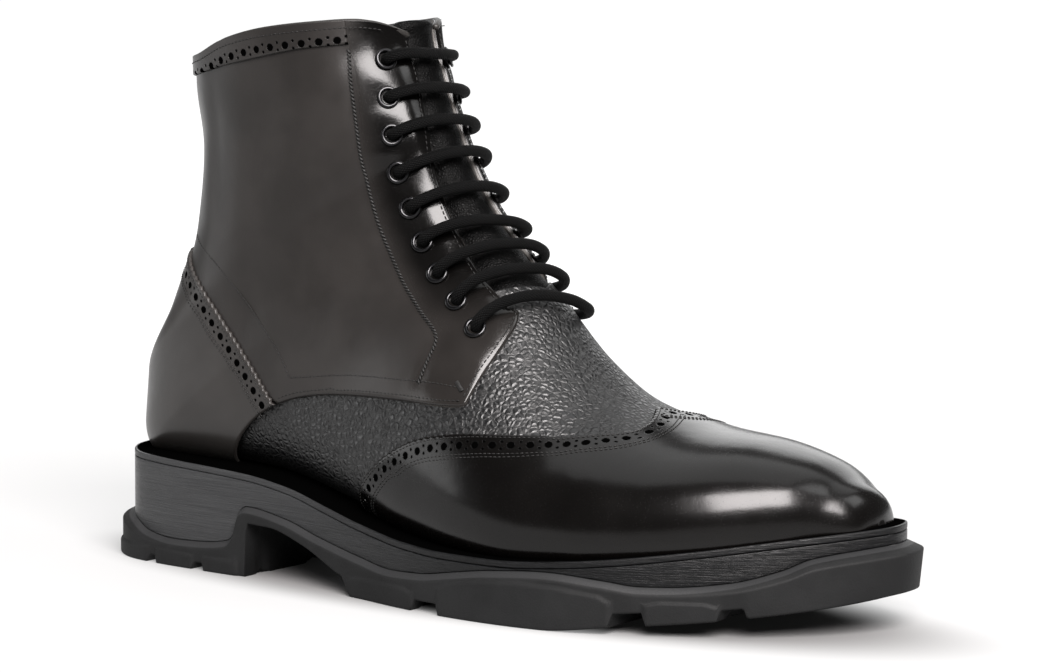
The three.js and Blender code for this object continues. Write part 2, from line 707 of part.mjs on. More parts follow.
// across is a share of the upper's width, from the middle of the boot's box
const wingPlan = [
  { at: 0.666, across: -0.36 },
  { at: 0.717, across: -0.285 },
  { at: 0.745, across: -0.2 },
  { at: 0.75, across: -0.12 },
  { at: 0.735, across: -0.04 },
];
const wingPeak = { at: 0.718, across: 0.046 };
const wingUp = wingSide[wingSide.length - 1].up;
const wingSideRegion = sideCut(
  new THREE.Shape([
    ...smoothLine(wingSide.map(spot), 10),
    corner(farFront, wingUp * bootHeight),
    corner(farFront, -bootHeight),
    corner(upperX(wingSide[0].at), -bootHeight),
  ]),
);
const planSpot = (row, mirror) => {
  const peak = wingPeak.across * upperWidth;
  const across = row.across * upperWidth;
  return corner(upperX(row.at), mirror ? 2 * peak - across : across);
};
const wingPeakRegion = planCut(
  new THREE.Shape([
    corner(farFront, -soleWidth),
    corner(farFront, soleWidth),
    corner(upperX(wingPlan[0].at), soleWidth),
    ...smoothLine(wingPlan.map((row) => planSpot(row, true)), 6),
    planSpot(wingPeak, false),
    ...smoothLine(wingPlan.map((row) => planSpot(row, false)), 6).reverse(),
    corner(upperX(wingPlan[0].at), -soleWidth),
  ].reverse()),
);

// The facings, which carry the eyelets, are as thick as the quarter and the upper together. This line is
// their back edge, from the collar down to the top edge of the vamp, which stands below them.
const vampTopUp = 0.5365;
const facingBack = [
  { at: 0.353, up: 1.08 },
  { at: 0.353, up: 0.95 },
  { at: 0.365, up: 0.844 },
  { at: 0.379, up: 0.721 },
  { at: 0.398, up: 0.63 },
  { at: 0.433, up: 0.549 },
  { at: 0.441, up: vampTopUp },
];
function facingRegion(shift) {
  const line = smoothLine(facingBack.map(spot), 8).map((point) => corner(point.x + shift, point.y + shift));
  const front = [corner(line[0].x, sky), corner(farFront, sky), corner(farFront, line[line.length - 1].y)];
  return sideCut(new THREE.Shape([...line.reverse(), ...front]));
}

const vampHoles = [...outerSpots.slice(-2), ...innerSpots.slice(-2)];
const upper = without(
  form(0).subtract(form(-wall)).subtract(belowSeat).subtract(aboveCollar).subtract(facingRegion(0)),
  eyeletHoles(vampHoles),
);

const frontTurn = 0.25;
const backTurn = 0.75;
const seamTurn = gap / (2 * upperLength); // half the seam down the back of the heel
const sideTurns = { outer: [backTurn - 1 + seamTurn, frontTurn], inner: [frontTurn, backTurn - seamTurn] };
const quarterRow = 7; // first row of the table that the quarters reach
const facingRow = 10;
function quarter(side, spots) {
  const turns = sideTurns[side];
  const facing = sheet(-wall, facingSkin, [facingRow, lastRow], turns).intersect(facingRegion(gap));
  const leather = sheet(gap, facingSkin, [quarterRow, lastRow], turns)
    .intersect(quarterRegion)
    .subtract(belowSeat);
  return without(leather.add(facing).subtract(aboveCollar).subtract(throatCut), eyeletHoles(spots));
}
const outerQuarter = quarter("outer", outerSpots);
const innerQuarter = quarter("inner", innerSpots);

const wingRow = 12; // last row that the wing tip reaches
const wingTip = form(capSkin, wingRow)
  .subtract(form(gap, wingRow))
  .intersect(wingSideRegion.add(wingPeakRegion))
  .subtract(belowSeat);
const counterRows = [10, 18];
const counter = sheet(trimFrom, trimTo, counterRows, [0.5, 1]).intersect(counterRegion).subtract(belowSeat);
const bandRows = [17, lastRow];
const collarBand = sheet(trimFrom, trimTo, bandRows, [0.4, 1.1]).intersect(bandRegion).subtract(aboveCollar);

// Tongue, under the vamp and the facings
const tongueRows = [
  { up: 0.45, half: 0.2 },
  { up: 0.6, half: 0.24 },
  { up: 0.8, half: 0.23 },
  { up: 0.97, half: 0.18 },
];
const tongueOut = -wall - gap;
function tongueShape() {
  const half = smoothColumn(tongueRows, "up", "half");
  const top = bootHeight - tongueDrop;
  const round = 0.1 * upperWidth;
  const steps = Array.from({ length: 6 }, (_, i) => i / 5);
  const first = tongueRows[0].up * bootHeight;
  const side = steps.map((share) => first + (top - round - first) * share);
  const across = (z, sign) => throatMiddle(z) + sign * upperWidth * half(z / bootHeight);
  const edge = (sign) => side.map((z) => corner(across(z, sign), z));
  const shoulder = (sign) => {
    const from = edge(sign)[side.length - 1];
    return [0.35, 0.75, 1].map((share) => {
      const angle = (share * Math.PI) / 2;
      return corner(from.x - sign * round * (1 - Math.cos(angle)), from.y + round * Math.sin(angle));
    });
  };
  return new THREE.Shape([...edge(-1), ...shoulder(-1), ...shoulder(1).reverse(), ...edge(1).reverse()]);
}
const tongue = sheet(tongueOut - tongueThickness, tongueOut, [quarterRow, lastRow], [0, 0.5]).intersect(
  frontCut(tongueShape(), upperX(shaftBackShare), farFront),
);

// Sole
const flush = planWith(() => 0);
const rubberPlan = planWith(rubberReach);
const lugPlan = planWith((x) => rubberReach(x) + lugRelief);
const toeRake = (x) => 0.2 * toeBumper * THREE.MathUtils.smoothstep(soleShare(x), 0.7, 1);
const rubberFoot = planWith((x) => rubberReach(x) - toeRake(x));

// Tops of the lugs on the side, as lines in the side view
const lugRows = [
  { lug: 0, at: 0.004, up: 0.13 },
  { lug: 0, at: 0.09, up: 0.15 },
  { lug: 1, at: 0.103, up: 0.15 },
  { lug: 1, at: 0.163, up: 0.13 },
  { lug: 2, at: 0.179, up: 0.13 },
  { lug: 2, at: 0.232, up: 0.14 },
  { lug: 3, at: 0.4, up: 0.15 },
  { lug: 3, at: 0.43, up: 0.185 },
  { lug: 3, at: 0.505, up: 0.185 },
  { lug: 3, at: 0.521, up: 0.15 },
  { lug: 4, at: 0.558, up: 0.23 },
  { lug: 4, at: 0.576, up: 0.3 },
  { lug: 4, at: 0.613, up: 0.35 },
  { lug: 4, at: 0.665, up: 0.385 },
  { lug: 4, at: 0.71, up: 0.37 },
  { lug: 4, at: 0.755, up: 0.325 },
  { lug: 4, at: 0.767, up: 0.27 },
  { lug: 5, at: 0.8, up: 0.27 },
  { lug: 5, at: 0.815, up: 0.3 },
  { lug: 5, at: 0.857, up: 0.3 },
  { lug: 5, at: 0.87, up: 0.27 },
];
const lugCount = 1 + Math.max(...lugRows.map((row) => row.lug));
const lugCuts = Array.from({ length: lugCount }, (_, i) => {
  const rows = lugRows.filter((row) => row.lug === i);
  const top = rows.map((row) => corner(soleX(row.at), row.up * heelHeight));
  const floor = -heelHeight;
  return sideCut(new THREE.Shape([corner(top[0].x, floor), ...top, corner(top[top.length - 1].x, floor)]));
});

// Gaps between the lugs: from and to along the sole, and depth as a share of the deepest
const grooveRows = [
  { from: 0.09, to: 0.103, deep: 0.6 },
  { from: 0.163, to: 0.179, deep: 0.6 },
  { from: 0.521, to: 0.558, deep: 0.85 },
  { from: 0.767, to: 0.8, deep: 1 },
  { from: 0.87, to: 0.893, deep: 0.8 },
];
const grooves = grooveRows.map(({ from, to, deep }) => {
  const [back, front] = [soleX(from), soleX(to)];
  const roof = (x) => treadBottom(x) + deep * grooveDepth;
  const floor = -heelHeight;
  const top = [corner(back, roof(back)), corner(front, roof(front))];
  return sideCut(new THREE.Shape([corner(back, floor), ...top, corner(front, floor)]));
});

const rubber = plank([
  { plan: flush, height: waveTop },
  { plan: rubberPlan, height: (x) => waveTop(x) - rimChamfer },
  { plan: rubberFoot, height: treadBottom },
]);
const lugFaces = plank([
  { plan: lugPlan, height: (x) => waveTop(x) - rimChamfer },
  { plan: lugPlan, height: treadBottom },
]);
const lugs = lugCuts.map((cut) => lugFaces.intersect(cut));
const outsole = without(lugs.reduce((sum, lug) => sum.add(lug), rubber), grooves);
const midsole = plank([
  { plan: flush, height: (x) => weltTop(x) - weltThickness - gap },
  { plan: flush, height: (x) => waveTop(x) + gap },
]);
const weltInner = planWith(() => -weltReach - weltSeat);
const welt = plank([
  { plan: flush, height: weltTop },
  { plan: flush, height: (x) => weltTop(x) - weltThickness },
]).subtract(
  plank([
    { plan: weltInner, height: (x) => weltTop(x) + weltThickness },
    { plan: weltInner, height: (x) => weltTop(x) - 2 * weltThickness },
  ]),
);
const insole = form(-wall - gap)
  .subtract(belowLine((x) => weltTop(x) + gap))
  .intersect(belowLine((x) => weltTop(x) + gap + insoleThickness));

// Eyelets: a barrel through the facing, with a flange on its face
function eyeletGeometry() {
  const hole = eyeletHole / 2;
  const flange = eyeletFlange / 2;
  const seat = facingSkin + 1.6 * gap;
  const tail = -wall + 2 * gap;
  const ring = [
    [hole, tail],
    [barrelRadius, tail],
    [barrelRadius, seat],
    [flange, seat],
    [hole, seat + eyeletFlangeHeight],
    [hole, tail],
  ];
  return new THREE.LatheGeometry(ring.map(([x, y]) => new THREE.Vector2(x, y)), eyeletSides);
}
const eyeletShape = eyeletGeometry();

// Lace bars. Each starts just over an outer eyelet, arches over the throat and ends just over the inner one.
// along is a share of the way across, and out is the middle of the lace above the upper's skin.
const laceSides = 8;
const laceSteps = 8;
const laceRows = [
  { along: 0, out: 4.3 },
  { along: 0.03, out: 5.5 },
  { along: 0.16, out: 6.2 },
  { along: 0.5, out: 4.8 },
];
const laceDips = [0.2, 0.45]; // sag of the first and last bars towards the toe, in rows of the table
function laceBar(from, to, dip) {
  const point = (share, out) => {
    const u = THREE.MathUtils.lerp(from.u, to.u, share) - 4 * share * (1 - share) * dip;
    return skinOut(u, THREE.MathUtils.lerp(from.v, to.v, share), out);
  };
  const rise = laceRows.map(({ along, out }) => point(along, out));
  const fall = laceRows.slice(0, -1).map(({ along, out }) => point(1 - along, out));
  const round = new THREE.Shape(
    Array.from({ length: laceSides }, (_, i) => {
      const angle = (2 * Math.PI * i) / laceSides;
      return corner((laceDiameter / 2) * Math.cos(angle), (laceDiameter / 2) * Math.sin(angle));
    }),
  );
  const path = new THREE.CatmullRomCurve3([...rise, ...fall.reverse()], false, "centripetal");
  return new THREE.ExtrudeGeometry(round, { steps: laceSteps, bevelEnabled: false, extrudePath: path });
}

const finishes = {
  rubber: { color: 0x2b2c2d, roughness: 0.85, metalness: 0 },
  stack: { color: 0x24272a, roughness: 0.5, metalness: 0 },
  smooth: { color: 0x2b2725, roughness: 0.3, metalness: 0 },
  grain: { color: 0x161617, roughness: 0.5, metalness: 0 },
  lining: { color: 0x1c1a19, roughness: 0.8, metalness: 0 },
  metal: { color: 0x2c2b2b, roughness: 0.35, metalness: 0.8 },
  lace: { color: 0x141414, roughness: 0.7, metalness: 0 },
};

const boot = new THREE.Group();
function add(name, geometry, finish) {
  const mesh = new THREE.Mesh(geometry, new THREE.MeshStandardMaterial(finishes[finish]));
  mesh.name = name;
  boot.add(mesh);
  return mesh;
}

add("outsole", geometryOf(outsole), "rubber");
add("midsole", geometryOf(midsole), "stack");
add("welt", geometryOf(welt), "stack");
add("insole", geometryOf(insole), "lining");
add("upper", geometryOf(upper), "grain");
add("tongue", geometryOf(tongue), "grain");
add("quarter_outer", geometryOf(outerQuarter), "smooth");
add("quarter_inner", geometryOf(innerQuarter), "smooth");
add("wing_tip", geometryOf(wingTip), "smooth");
add("heel_counter", geometryOf(counter), "smooth");
add("collar_band", geometryOf(collarBand), "smooth");

for (const [side, spots] of Object.entries({ outer: outerSpots, inner: innerSpots })) {
  spots.forEach(({ point, normal }, i) => {
    const eyelet = add(`eyelet_${side}_${i + 1}`, eyeletShape.clone(), "metal");
    eyelet.position.copy(point);
    eyelet.quaternion.setFromUnitVectors(up, normal);
  });
}
outerSpots.forEach((from, i) => {
  const dip = THREE.MathUtils.lerp(laceDips[0], laceDips[1], i / (eyeletCount - 1));
  add(`lace_bar_${i + 1}`, laceBar(from, innerSpots[i], dip), "lace");
});

export default boot;
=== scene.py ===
"""Lace-up ankle boot with a wing tip: its looks, built round the solids in the frame.

Sizes are millimetres until a mesh is made. +X runs to the toe, +Y to the inner side and +Z up.
"""

import math

import bpy
import numpy as np
from mathutils import Matrix, Vector


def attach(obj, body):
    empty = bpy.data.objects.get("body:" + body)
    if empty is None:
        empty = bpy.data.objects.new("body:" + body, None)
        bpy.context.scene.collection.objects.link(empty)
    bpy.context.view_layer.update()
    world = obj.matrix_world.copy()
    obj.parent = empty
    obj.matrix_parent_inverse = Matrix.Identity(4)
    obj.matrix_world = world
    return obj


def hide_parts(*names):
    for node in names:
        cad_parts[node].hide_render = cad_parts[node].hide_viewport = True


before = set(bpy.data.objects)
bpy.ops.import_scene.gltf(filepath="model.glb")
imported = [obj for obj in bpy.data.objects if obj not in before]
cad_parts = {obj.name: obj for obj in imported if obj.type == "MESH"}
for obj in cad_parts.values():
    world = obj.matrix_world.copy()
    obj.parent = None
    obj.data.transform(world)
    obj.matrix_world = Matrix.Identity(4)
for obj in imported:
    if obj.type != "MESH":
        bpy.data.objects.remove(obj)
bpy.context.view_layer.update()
MM = 0.001

# Driving dimensions, as in the solids
SOLE_LENGTH = 301.0
SOLE_WIDTH = 107.0
HEEL_HEIGHT = 38.0
HEEL_INSET = 3.4
UPPER_LENGTH = 292.0
UPPER_WIDTH = 98.0
BOOT_HEIGHT = 192.0
COLLAR_DROP = 15.0
WALL = 2.2
QUARTER = 1.6
CAP = 1.5
TRIM_FROM = 1.55
TRIM_TO = 2.75
TONGUE_OUT = -2.5
TONGUE_THICK = 2.0
WELT_THICK = 2.2
RIM_REACH = 1.8
HEEL_FLARE = 4.6
TOE_BUMPER = 5.4
RIM_CHAMFER = 2.4
LUG_RELIEF = 0.8
GROOVE_DEPTH = 4.2
EYELETS = 9
EYELET_SPACING = 12.8
EYELET_HOLE = 2.4
EYELET_FLANGE = 3.8
LACE_RADIUS = 1.9
GAP = 0.3

SOLE_BACK = -(SOLE_LENGTH + TOE_BUMPER - HEEL_FLARE) / 2
UPPER_BACK = SOLE_BACK + HEEL_INSET


# Camera at the photo's angle: degrees round from the side view and down, its lens, and where it looks
CAMERA_TURN = 35.0
CAMERA_TILT = 6.25
CAMERA_ROLL = 0.4
CAMERA_LENS = 115.97
CAMERA_AWAY = 1143.13
CAMERA_TARGET = (11.4, 2.61, 86.48)


def aim_camera():
    turn, tilt, roll = (math.radians(angle) for angle in (CAMERA_TURN, CAMERA_TILT, CAMERA_ROLL))
    back = Vector((math.sin(turn) * math.cos(tilt), -math.cos(turn) * math.cos(tilt), math.sin(tilt)))
    right = Vector((math.cos(turn), math.sin(turn), 0.0))
    up = back.cross(right)
    level = right
    right = level * math.cos(roll) + up * math.sin(roll)
    up = up * math.cos(roll) - level * math.sin(roll)
    data = bpy.data.cameras.new("photo_camera")
    data.lens = CAMERA_LENS
    data.sensor_width = 36.0
    data.sensor_fit = "HORIZONTAL"
    camera = bpy.data.objects.new("photo_camera", data)
    bpy.context.scene.collection.objects.link(camera)
    spot = (Vector(CAMERA_TARGET) + back * CAMERA_AWAY) * MM
    facing = Matrix((right, up, back)).transposed().to_4x4()
    camera.matrix_world = Matrix.Translation(spot) @ facing
    bpy.context.scene.camera = camera


aim_camera()


# Smooth columns and lines
class Column:
    """A smooth line through (place, value) rows, with no overshoot between them."""

    def __init__(self, places, values):
        self.x = np.asarray(places, float)
        self.y = np.asarray(values, float)
        slopes = np.diff(self.y) / np.diff(self.x)
        before = np.concatenate([slopes[:1], slopes])
        after = np.concatenate([slopes, slopes[-1:]])
        product = before * after
        total = np.where(before + after == 0, 1.0, before + after)
        self.tangent = np.where(product <= 0, 0.0, 2 * product / total)

    def __call__(self, at):
        t = np.clip(np.asarray(at, float), self.x[0], self.x[-1])
        i = np.clip(np.searchsorted(self.x, t, side="right") - 1, 0, len(self.x) - 2)
        span = self.x[i + 1] - self.x[i]
        s = (t - self.x[i]) / span
        rise = s * s * (3 - 2 * s)
        start = s * (1 - s) ** 2
        end = s * s * (1 - s)
        step = self.y[i + 1] - self.y[i]
        return self.y[i] + step * rise + span * (self.tangent[i] * start - self.tangent[i + 1] * end)


def smooth_line(points, count):
    """A centripetal spline through the points, as count + 1 evenly spaced ones."""
    p = np.asarray(points, float)
    return resample(spline_through(np.vstack([2 * p[0] - p[1], p, 2 * p[-1] - p[-2]])), count)


def smooth_ring(points, count):
    """A closed spline through the points, as count evenly spaced ones."""
    p = np.asarray(points, float)
    return resample(spline_through(np.vstack([p[-1], p, p[0], p[1]])), count)[:-1]


def spline_through(p):
    """The centripetal spline from the second point to the last but one."""
    out = []
    for i in range(1, len(p) - 2):
        a, b, c, d = p[i - 1], p[i], p[i + 1], p[i + 2]
        t0 = 0.0
        t1 = t0 + max(np.linalg.norm(b - a), 1e-6) ** 0.5
        t2 = t1 + max(np.linalg.norm(c - b), 1e-6) ** 0.5
        t3 = t2 + max(np.linalg.norm(d - c), 1e-6) ** 0.5
        t = np.linspace(t1, t2, 24, endpoint=False)[:, None]
        ab = (t1 - t) / (t1 - t0) * a + (t - t0) / (t1 - t0) * b
        bc = (t2 - t) / (t2 - t1) * b + (t - t1) / (t2 - t1) * c
        cd = (t3 - t) / (t3 - t2) * c + (t - t2) / (t3 - t2) * d
        abc = (t2 - t) / (t2 - t0) * ab + (t - t0) / (t2 - t0) * bc
        bcd = (t3 - t) / (t3 - t1) * bc + (t - t1) / (t3 - t1) * cd
        out.append((t2 - t) / (t2 - t1) * abc + (t - t1) / (t2 - t1) * bcd)
    return np.vstack(out + [p[-2][None]])


def run_of(line):
    """How far along a line each of its points lies."""
    return np.concatenate([[0], np.cumsum(np.linalg.norm(np.diff(line, axis=0), axis=1))])


def columns_at(at, run, line):
    """Points of a line, or values along it, at lengths of its run."""
    return np.stack([np.interp(at, run, line[:, k]) for k in range(line.shape[1])], axis=1)


def resample(line, count):
    """count + 1 points evenly along a line."""
    run = run_of(line)
    return columns_at(np.linspace(0, run[-1], count + 1), run, line)


def rows(text):
    """A short table, a row to a line, as an array."""
    return np.array([[float(value) for value in line.split()] for line in text.strip().splitlines()])


# Skin of the upper
# topAt, topUp, lowAt, lowUp: the ends of each section, as shares of the upper's length and height.
# middle, half, ridge: shares of its width. widest, roof, floor: the section's form.
SECTIONS = rows("""
0.9945 0.198 0.9945 0.15  0.118 0.055 0     0.5  2    2.2
0.991  0.212 0.991  0.147 0.118 0.1   0     0.4  2    2.6
0.983  0.228 0.983  0.143 0.12  0.138 -0.02 0.36 2    3
0.963  0.244 0.963  0.141 0.122 0.195 -0.04 0.33 2.1  3.4
0.928  0.274 0.928  0.131 0.105 0.295 -0.04 0.31 2.2  3.8
0.868  0.298 0.868  0.117 0.068 0.386 -0.01 0.3  2.2  4
0.793  0.311 0.793  0.104 0.038 0.457 0.02  0.28 2.1  4
0.717  0.341 0.717  0.091 0.01  0.49  0.05  0.27 1.95 4
0.68   0.368 0.642  0.083 -0.011 0.486 0.07 0.27 1.85 4
0.632  0.432 0.56   0.088 -0.034 0.455 0.075 0.28 1.85 3.6
0.589  0.511 0.464  0.104 -0.041 0.4  0.075 0.3  1.9  3.3
0.552  0.568 0.351  0.141 -0.024 0.35 0.06  0.36 2    3
0.519  0.618 0.214  0.177 0.002 0.326 0.045 0.42 2.1  2.8
0.483  0.683 0.022  0.188 0.015 0.32  0.03  0.46 2.2  2.6
0.4595 0.739 0.0055 0.23  0.02  0.318 0.02  0.48 2.3  2.4
0.446  0.781 0.0085 0.323 0.02  0.318 0.01  0.5  2.3  2.3
0.4325 0.823 0.05   0.442 0.02  0.32  0     0.5  2.4  2.3
0.417  0.87  0.09   0.599 0.02  0.325 0     0.5  2.4  2.3
0.404  0.916 0.103  0.755 0.02  0.332 0     0.5  2.4  2.3
0.389  0.969 0.094  0.875 0.02  0.342 0     0.5  2.4  2.3
0.381  1.059 0.093  1.019 0.02  0.35  0     0.5  2.4  2.3
""")
LAST = len(SECTIONS) - 1
# Every section from here on crosses the heel seam over the welt
SHAFT_FROM = 15.0
SECTION = [Column(np.arange(LAST + 1), SECTIONS[:, k]) for k in range(SECTIONS.shape[1])]


def upper_x(at):
    return UPPER_BACK + np.asarray(at) * UPPER_LENGTH


def sole_x(at):
    return SOLE_BACK + np.asarray(at) * SOLE_LENGTH


def sole_share(x):
    return (np.asarray(x) - SOLE_BACK) / SOLE_LENGTH


def skin(u, v):
    """Points of the skin. u runs over the sections, and v once round one from the outer side over the top."""
    u, v = np.broadcast_arrays(np.asarray(u, float), np.asarray(v, float))
    top_at, top_up, low_at, low_up, middle, half, ridge, widest, roof, floor = [c(u) for c in SECTION]
    angle = 2 * np.pi * v
    rise = np.sin(angle)
    over = rise >= 0
    power = 2 / np.where(over, roof, floor)
    up = np.abs(rise) ** power
    across = -np.sign(np.cos(angle)) * np.abs(np.cos(angle)) ** power
    along = np.where(over, widest + (1 - widest) * up, widest * (1 - up))
    x = upper_x(low_at + (top_at - low_at) * along)
    z = (low_up + (top_up - low_up) * along) * BOOT_HEIGHT
    y = UPPER_WIDTH * (middle + half * across + np.where(over, ridge * up * up, 0))
    return np.stack([x, y, z], axis=-1)


def unit(vectors):
    return vectors / np.maximum(np.linalg.norm(vectors, axis=-1, keepdims=True), 1e-9)


def skin_normal(u, v):
    u = np.maximum(np.asarray(u, float), 0.03)
    step, turn = 0.02, 0.004
    along = skin(np.minimum(u + step, LAST), v) - skin(u - step, v)
    around = skin(u, v + turn) - skin(u, v - turn)
    return unit(np.cross(around, along))


def skin_out(u, v, out):
    return skin(u, v) + skin_normal(u, v) * np.asarray(out, float)[..., None]


def on_skin(points, axes, turns, sections=(0.0, float(LAST))):
    """(u, v) where the skin passes through points given by two of their coordinates."""
    points = np.asarray(points, float)
    axes = list(axes)
    us = np.linspace(sections[0], sections[1], 161)
    vs = np.linspace(turns[0], turns[1], 97)
    grid_u, grid_v = np.meshgrid(us, vs, indexing="ij")
    where = skin(grid_u, grid_v)[..., axes]
    found = []
    for point in points:
        miss = np.linalg.norm(where - point, axis=-1)
        i, j = np.unravel_index(np.argmin(miss), miss.shape)
        found.append((us[i], vs[j]))
    u, v = np.array(found).T
    step = 1e-4
    for _ in range(25):
        here = skin(u, v)[:, axes] - points
        du = (skin(u + step, v)[:, axes] - points - here) / step
        dv = (skin(u, v + step)[:, axes] - points - here) / step
        det = du[:, 0] * dv[:, 1] - dv[:, 0] * du[:, 1]
        det = np.where(np.abs(det) < 1e-3, 1e-3, det)
        move_u = (here[:, 0] * dv[:, 1] - dv[:, 0] * here[:, 1]) / det
        move_v = (du[:, 0] * here[:, 1] - here[:, 0] * du[:, 1]) / det
        u = np.clip(u - np.clip(move_u, -0.5, 0.5), sections[0], sections[1])
        v = np.clip(v - np.clip(move_v, -0.02, 0.02), turns[0], turns[1])
    return np.stack([u, v], axis=1)


def meets_line(low, high, points, height):
    """Where points(value), which rise with the value, reach the height(x) line, found by halving."""
    for _ in range(40):
        middle = (low + high) / 2
        p = points(middle)
        below = p[..., 2] < height(p[..., 0])
        low, high = np.where(below, middle, low), np.where(below, high, middle)
    return (low + high) / 2


def meets_height(v, height):
    """u at each v where the skin reaches the height(x) line, up the shaft."""
    low, high = np.full(v.shape, SHAFT_FROM), np.full(v.shape, float(LAST))
    return meets_line(low, high, lambda u: skin(u, v), height)


# Sole lines. Each is a height over the floor, as a share of the heel's, along the midsole.
TOP_LINE = rows("""
0 1
0.12 0.98
0.23 0.94
0.302 0.865
0.365 0.742
0.425 0.642
0.495 0.568
0.558 0.542
0.625 0.542
0.71 0.585
0.774 0.642
0.854 0.734
0.924 0.822
1 0.9
""")
top_column = Column(TOP_LINE[:, 0], TOP_LINE[:, 1])


def welt_top(x):
    return HEEL_HEIGHT * top_column(sole_share(x))


# Lines on the upper. Side view rows are shares of the upper's length and of the boot's height.
COLLAR = rows("""
0.03 1.03
0.07 1
0.14 0.83
0.196 0.45
0.252 0.21
0.322 0.05
0.357 0
0.37 0.04
0.38 0.14
0.388 0.32
0.394 0.58
0.398 0.85
0.4 1.15
""")
BAND = rows("""
0.03 0.89
0.07 0.889
0.132 0.898
0.193 0.917
0.249 0.934
0.304 0.95
0.353 0.958
""")
THROAT = rows("""
0.47  0.056 0.25
0.505 0.046 0.194
0.568 0.007 0.133
0.661 0.003 0.097
0.755 0.008 0.093
0.838 0.028 0.098
0.891 0.049 0.096
1.1   0.066 0.094
""")
QUARTER_FRONT = rows("""
0.5695 0.51
0.5765 0.484
0.577 0.465
0.573 0.43
0.568 0.404
0.5595 0.35
""")
QUARTER_LOWER = rows("""
0.5595 0.3465
0.53 0.344
0.469 0.346
0.405 0.345
0.341 0.339
0.3 0.328
0.269 0.313
""")
COUNTER_LOWER = rows("""
0.269 0.313
0.24 0.289
0.215 0.259
0.189 0.22
0.166 0.176
""")
WING_SIDE = rows("""
0.394 0.132
0.405 0.18
0.439 0.234
0.471 0.265
0.51 0.289
0.565 0.303
0.614 0.306
0.655 0.306
""")
WING_TOP = rows("""
0.6845 -0.286
0.701  -0.259
0.716  -0.229
0.7285 -0.199
0.738  -0.165
0.7405 -0.128
0.739  -0.0735
0.731  -0.011
0.7217  0.042
""")
EYELET_LINE = rows("""
0.3845 0.93
0.403 0.798
0.4105 0.734
0.4455 0.615
0.473 0.561
0.509 0.512
0.539 0.472
0.56 0.45
""")
throat_middle = Column(THROAT[:, 0], THROAT[:, 1])
throat_half = Column(THROAT[:, 0], THROAT[:, 2])
collar_column = Column(upper_x(COLLAR[:, 0]), BOOT_HEIGHT - COLLAR[:, 1] * COLLAR_DROP)
band_column = Column(upper_x(BAND[:, 0]), BOOT_HEIGHT * BAND[:, 1])


def side_view(table):
    return np.stack([upper_x(table[:, 0]), table[:, 1] * BOOT_HEIGHT], axis=1)


# How far round each side reaches, from next to the heel seam to next to the ridge
SIDE_TURNS = {False: (-0.23, 0.249), True: (0.251, 0.73)}


def side_uv(table, inner, count=60):
    """A line given in millimetres in the side view, as (u, v) on one side."""
    return on_skin(smooth_line(table, count), (0, 2), SIDE_TURNS[inner])


def side_line(table, inner, count=40):
    """A line given as shares in the side view, as (u, v) on one side."""
    return side_uv(side_view(table), inner, count)


def seat_height(x):
    return welt_top(x) + GAP


def welt_line(u, inner=False):
    """v at each section where the skin meets the welt."""
    low, high = np.full(u.shape, -0.25), np.full(u.shape, 0.2)
    v = meets_line(low, high, lambda turn: skin(u, 0.5 - turn if inner else turn), seat_height)
    return 0.5 - v if inner else v


def welt_points(from_u, to_u, inner=False, count=60):
    u = np.linspace(from_u, to_u, count)
    return np.stack([u, welt_line(u, inner)], axis=1)


def welt_at(u, inner):
    """Where one section meets the welt, as (u, v)."""
    return u, float(welt_line(np.array([u]), inner)[0])


# The section whose lowest point sits on the welt at the back of the heel
HEEL_U = float(meets_line(12.0, SHAFT_FROM, lambda u: skin(u, -0.25), seat_height))
FACING_FOOT = 0.51


def throat_edge(inner):
    """Edge of a facing, from over the collar down, as (u, v)."""
    up = np.linspace(1.0, FACING_FOOT, 200)
    sign = 1 if inner else -1
    y = UPPER_WIDTH * (throat_middle(up) + sign * throat_half(up))
    turns = (0.252, 0.49) if inner else (0.01, 0.248)
    return on_skin(np.stack([y, up * BOOT_HEIGHT], axis=1), (1, 2), turns, (8.0, float(LAST)))


def lengths_of(uv):
    return run_of(skin(uv[:, 0], uv[:, 1]))


def even(uv, places):
    """A line on the skin at shares of its own length."""
    lengths = lengths_of(uv)
    return columns_at(np.asarray(places) * lengths[-1], lengths, uv)


def coons(bottom, top, left, right, across, along):
    """Points (u, v) inside four lines. bottom and top run across, left and right run from bottom to top."""
    b, t = even(bottom, across), even(top, across)
    l, r = even(left, along), even(right, along)
    s = np.asarray(across)[None, :, None]
    w = np.asarray(along)[:, None, None]
    ruled = (1 - w) * b[None] + w * t[None]
    sides = (1 - s) * l[:, None] + s * r[:, None]
    corners = (1 - w) * ((1 - s) * b[0] + s * b[-1]) + w * ((1 - s) * t[0] + s * t[-1])
    return ruled + sides - corners


def shares(length, step, fine_start=True, fine_end=True):
    """Shares of a length, closer together next to an edge that is rolled."""
    close = [0, 0.12, 0.3, 0.55, 0.9, 1.4]
    first = close if fine_start else [0]
    last = close if fine_end else [0]
    left, right = first[-1], length - last[-1]
    middle = np.linspace(left, right, max(2, int(round((right - left) / step)) + 1))
    at = np.concatenate([first[:-1], middle, [length - d for d in reversed(last[:-1])]])
    return at / length


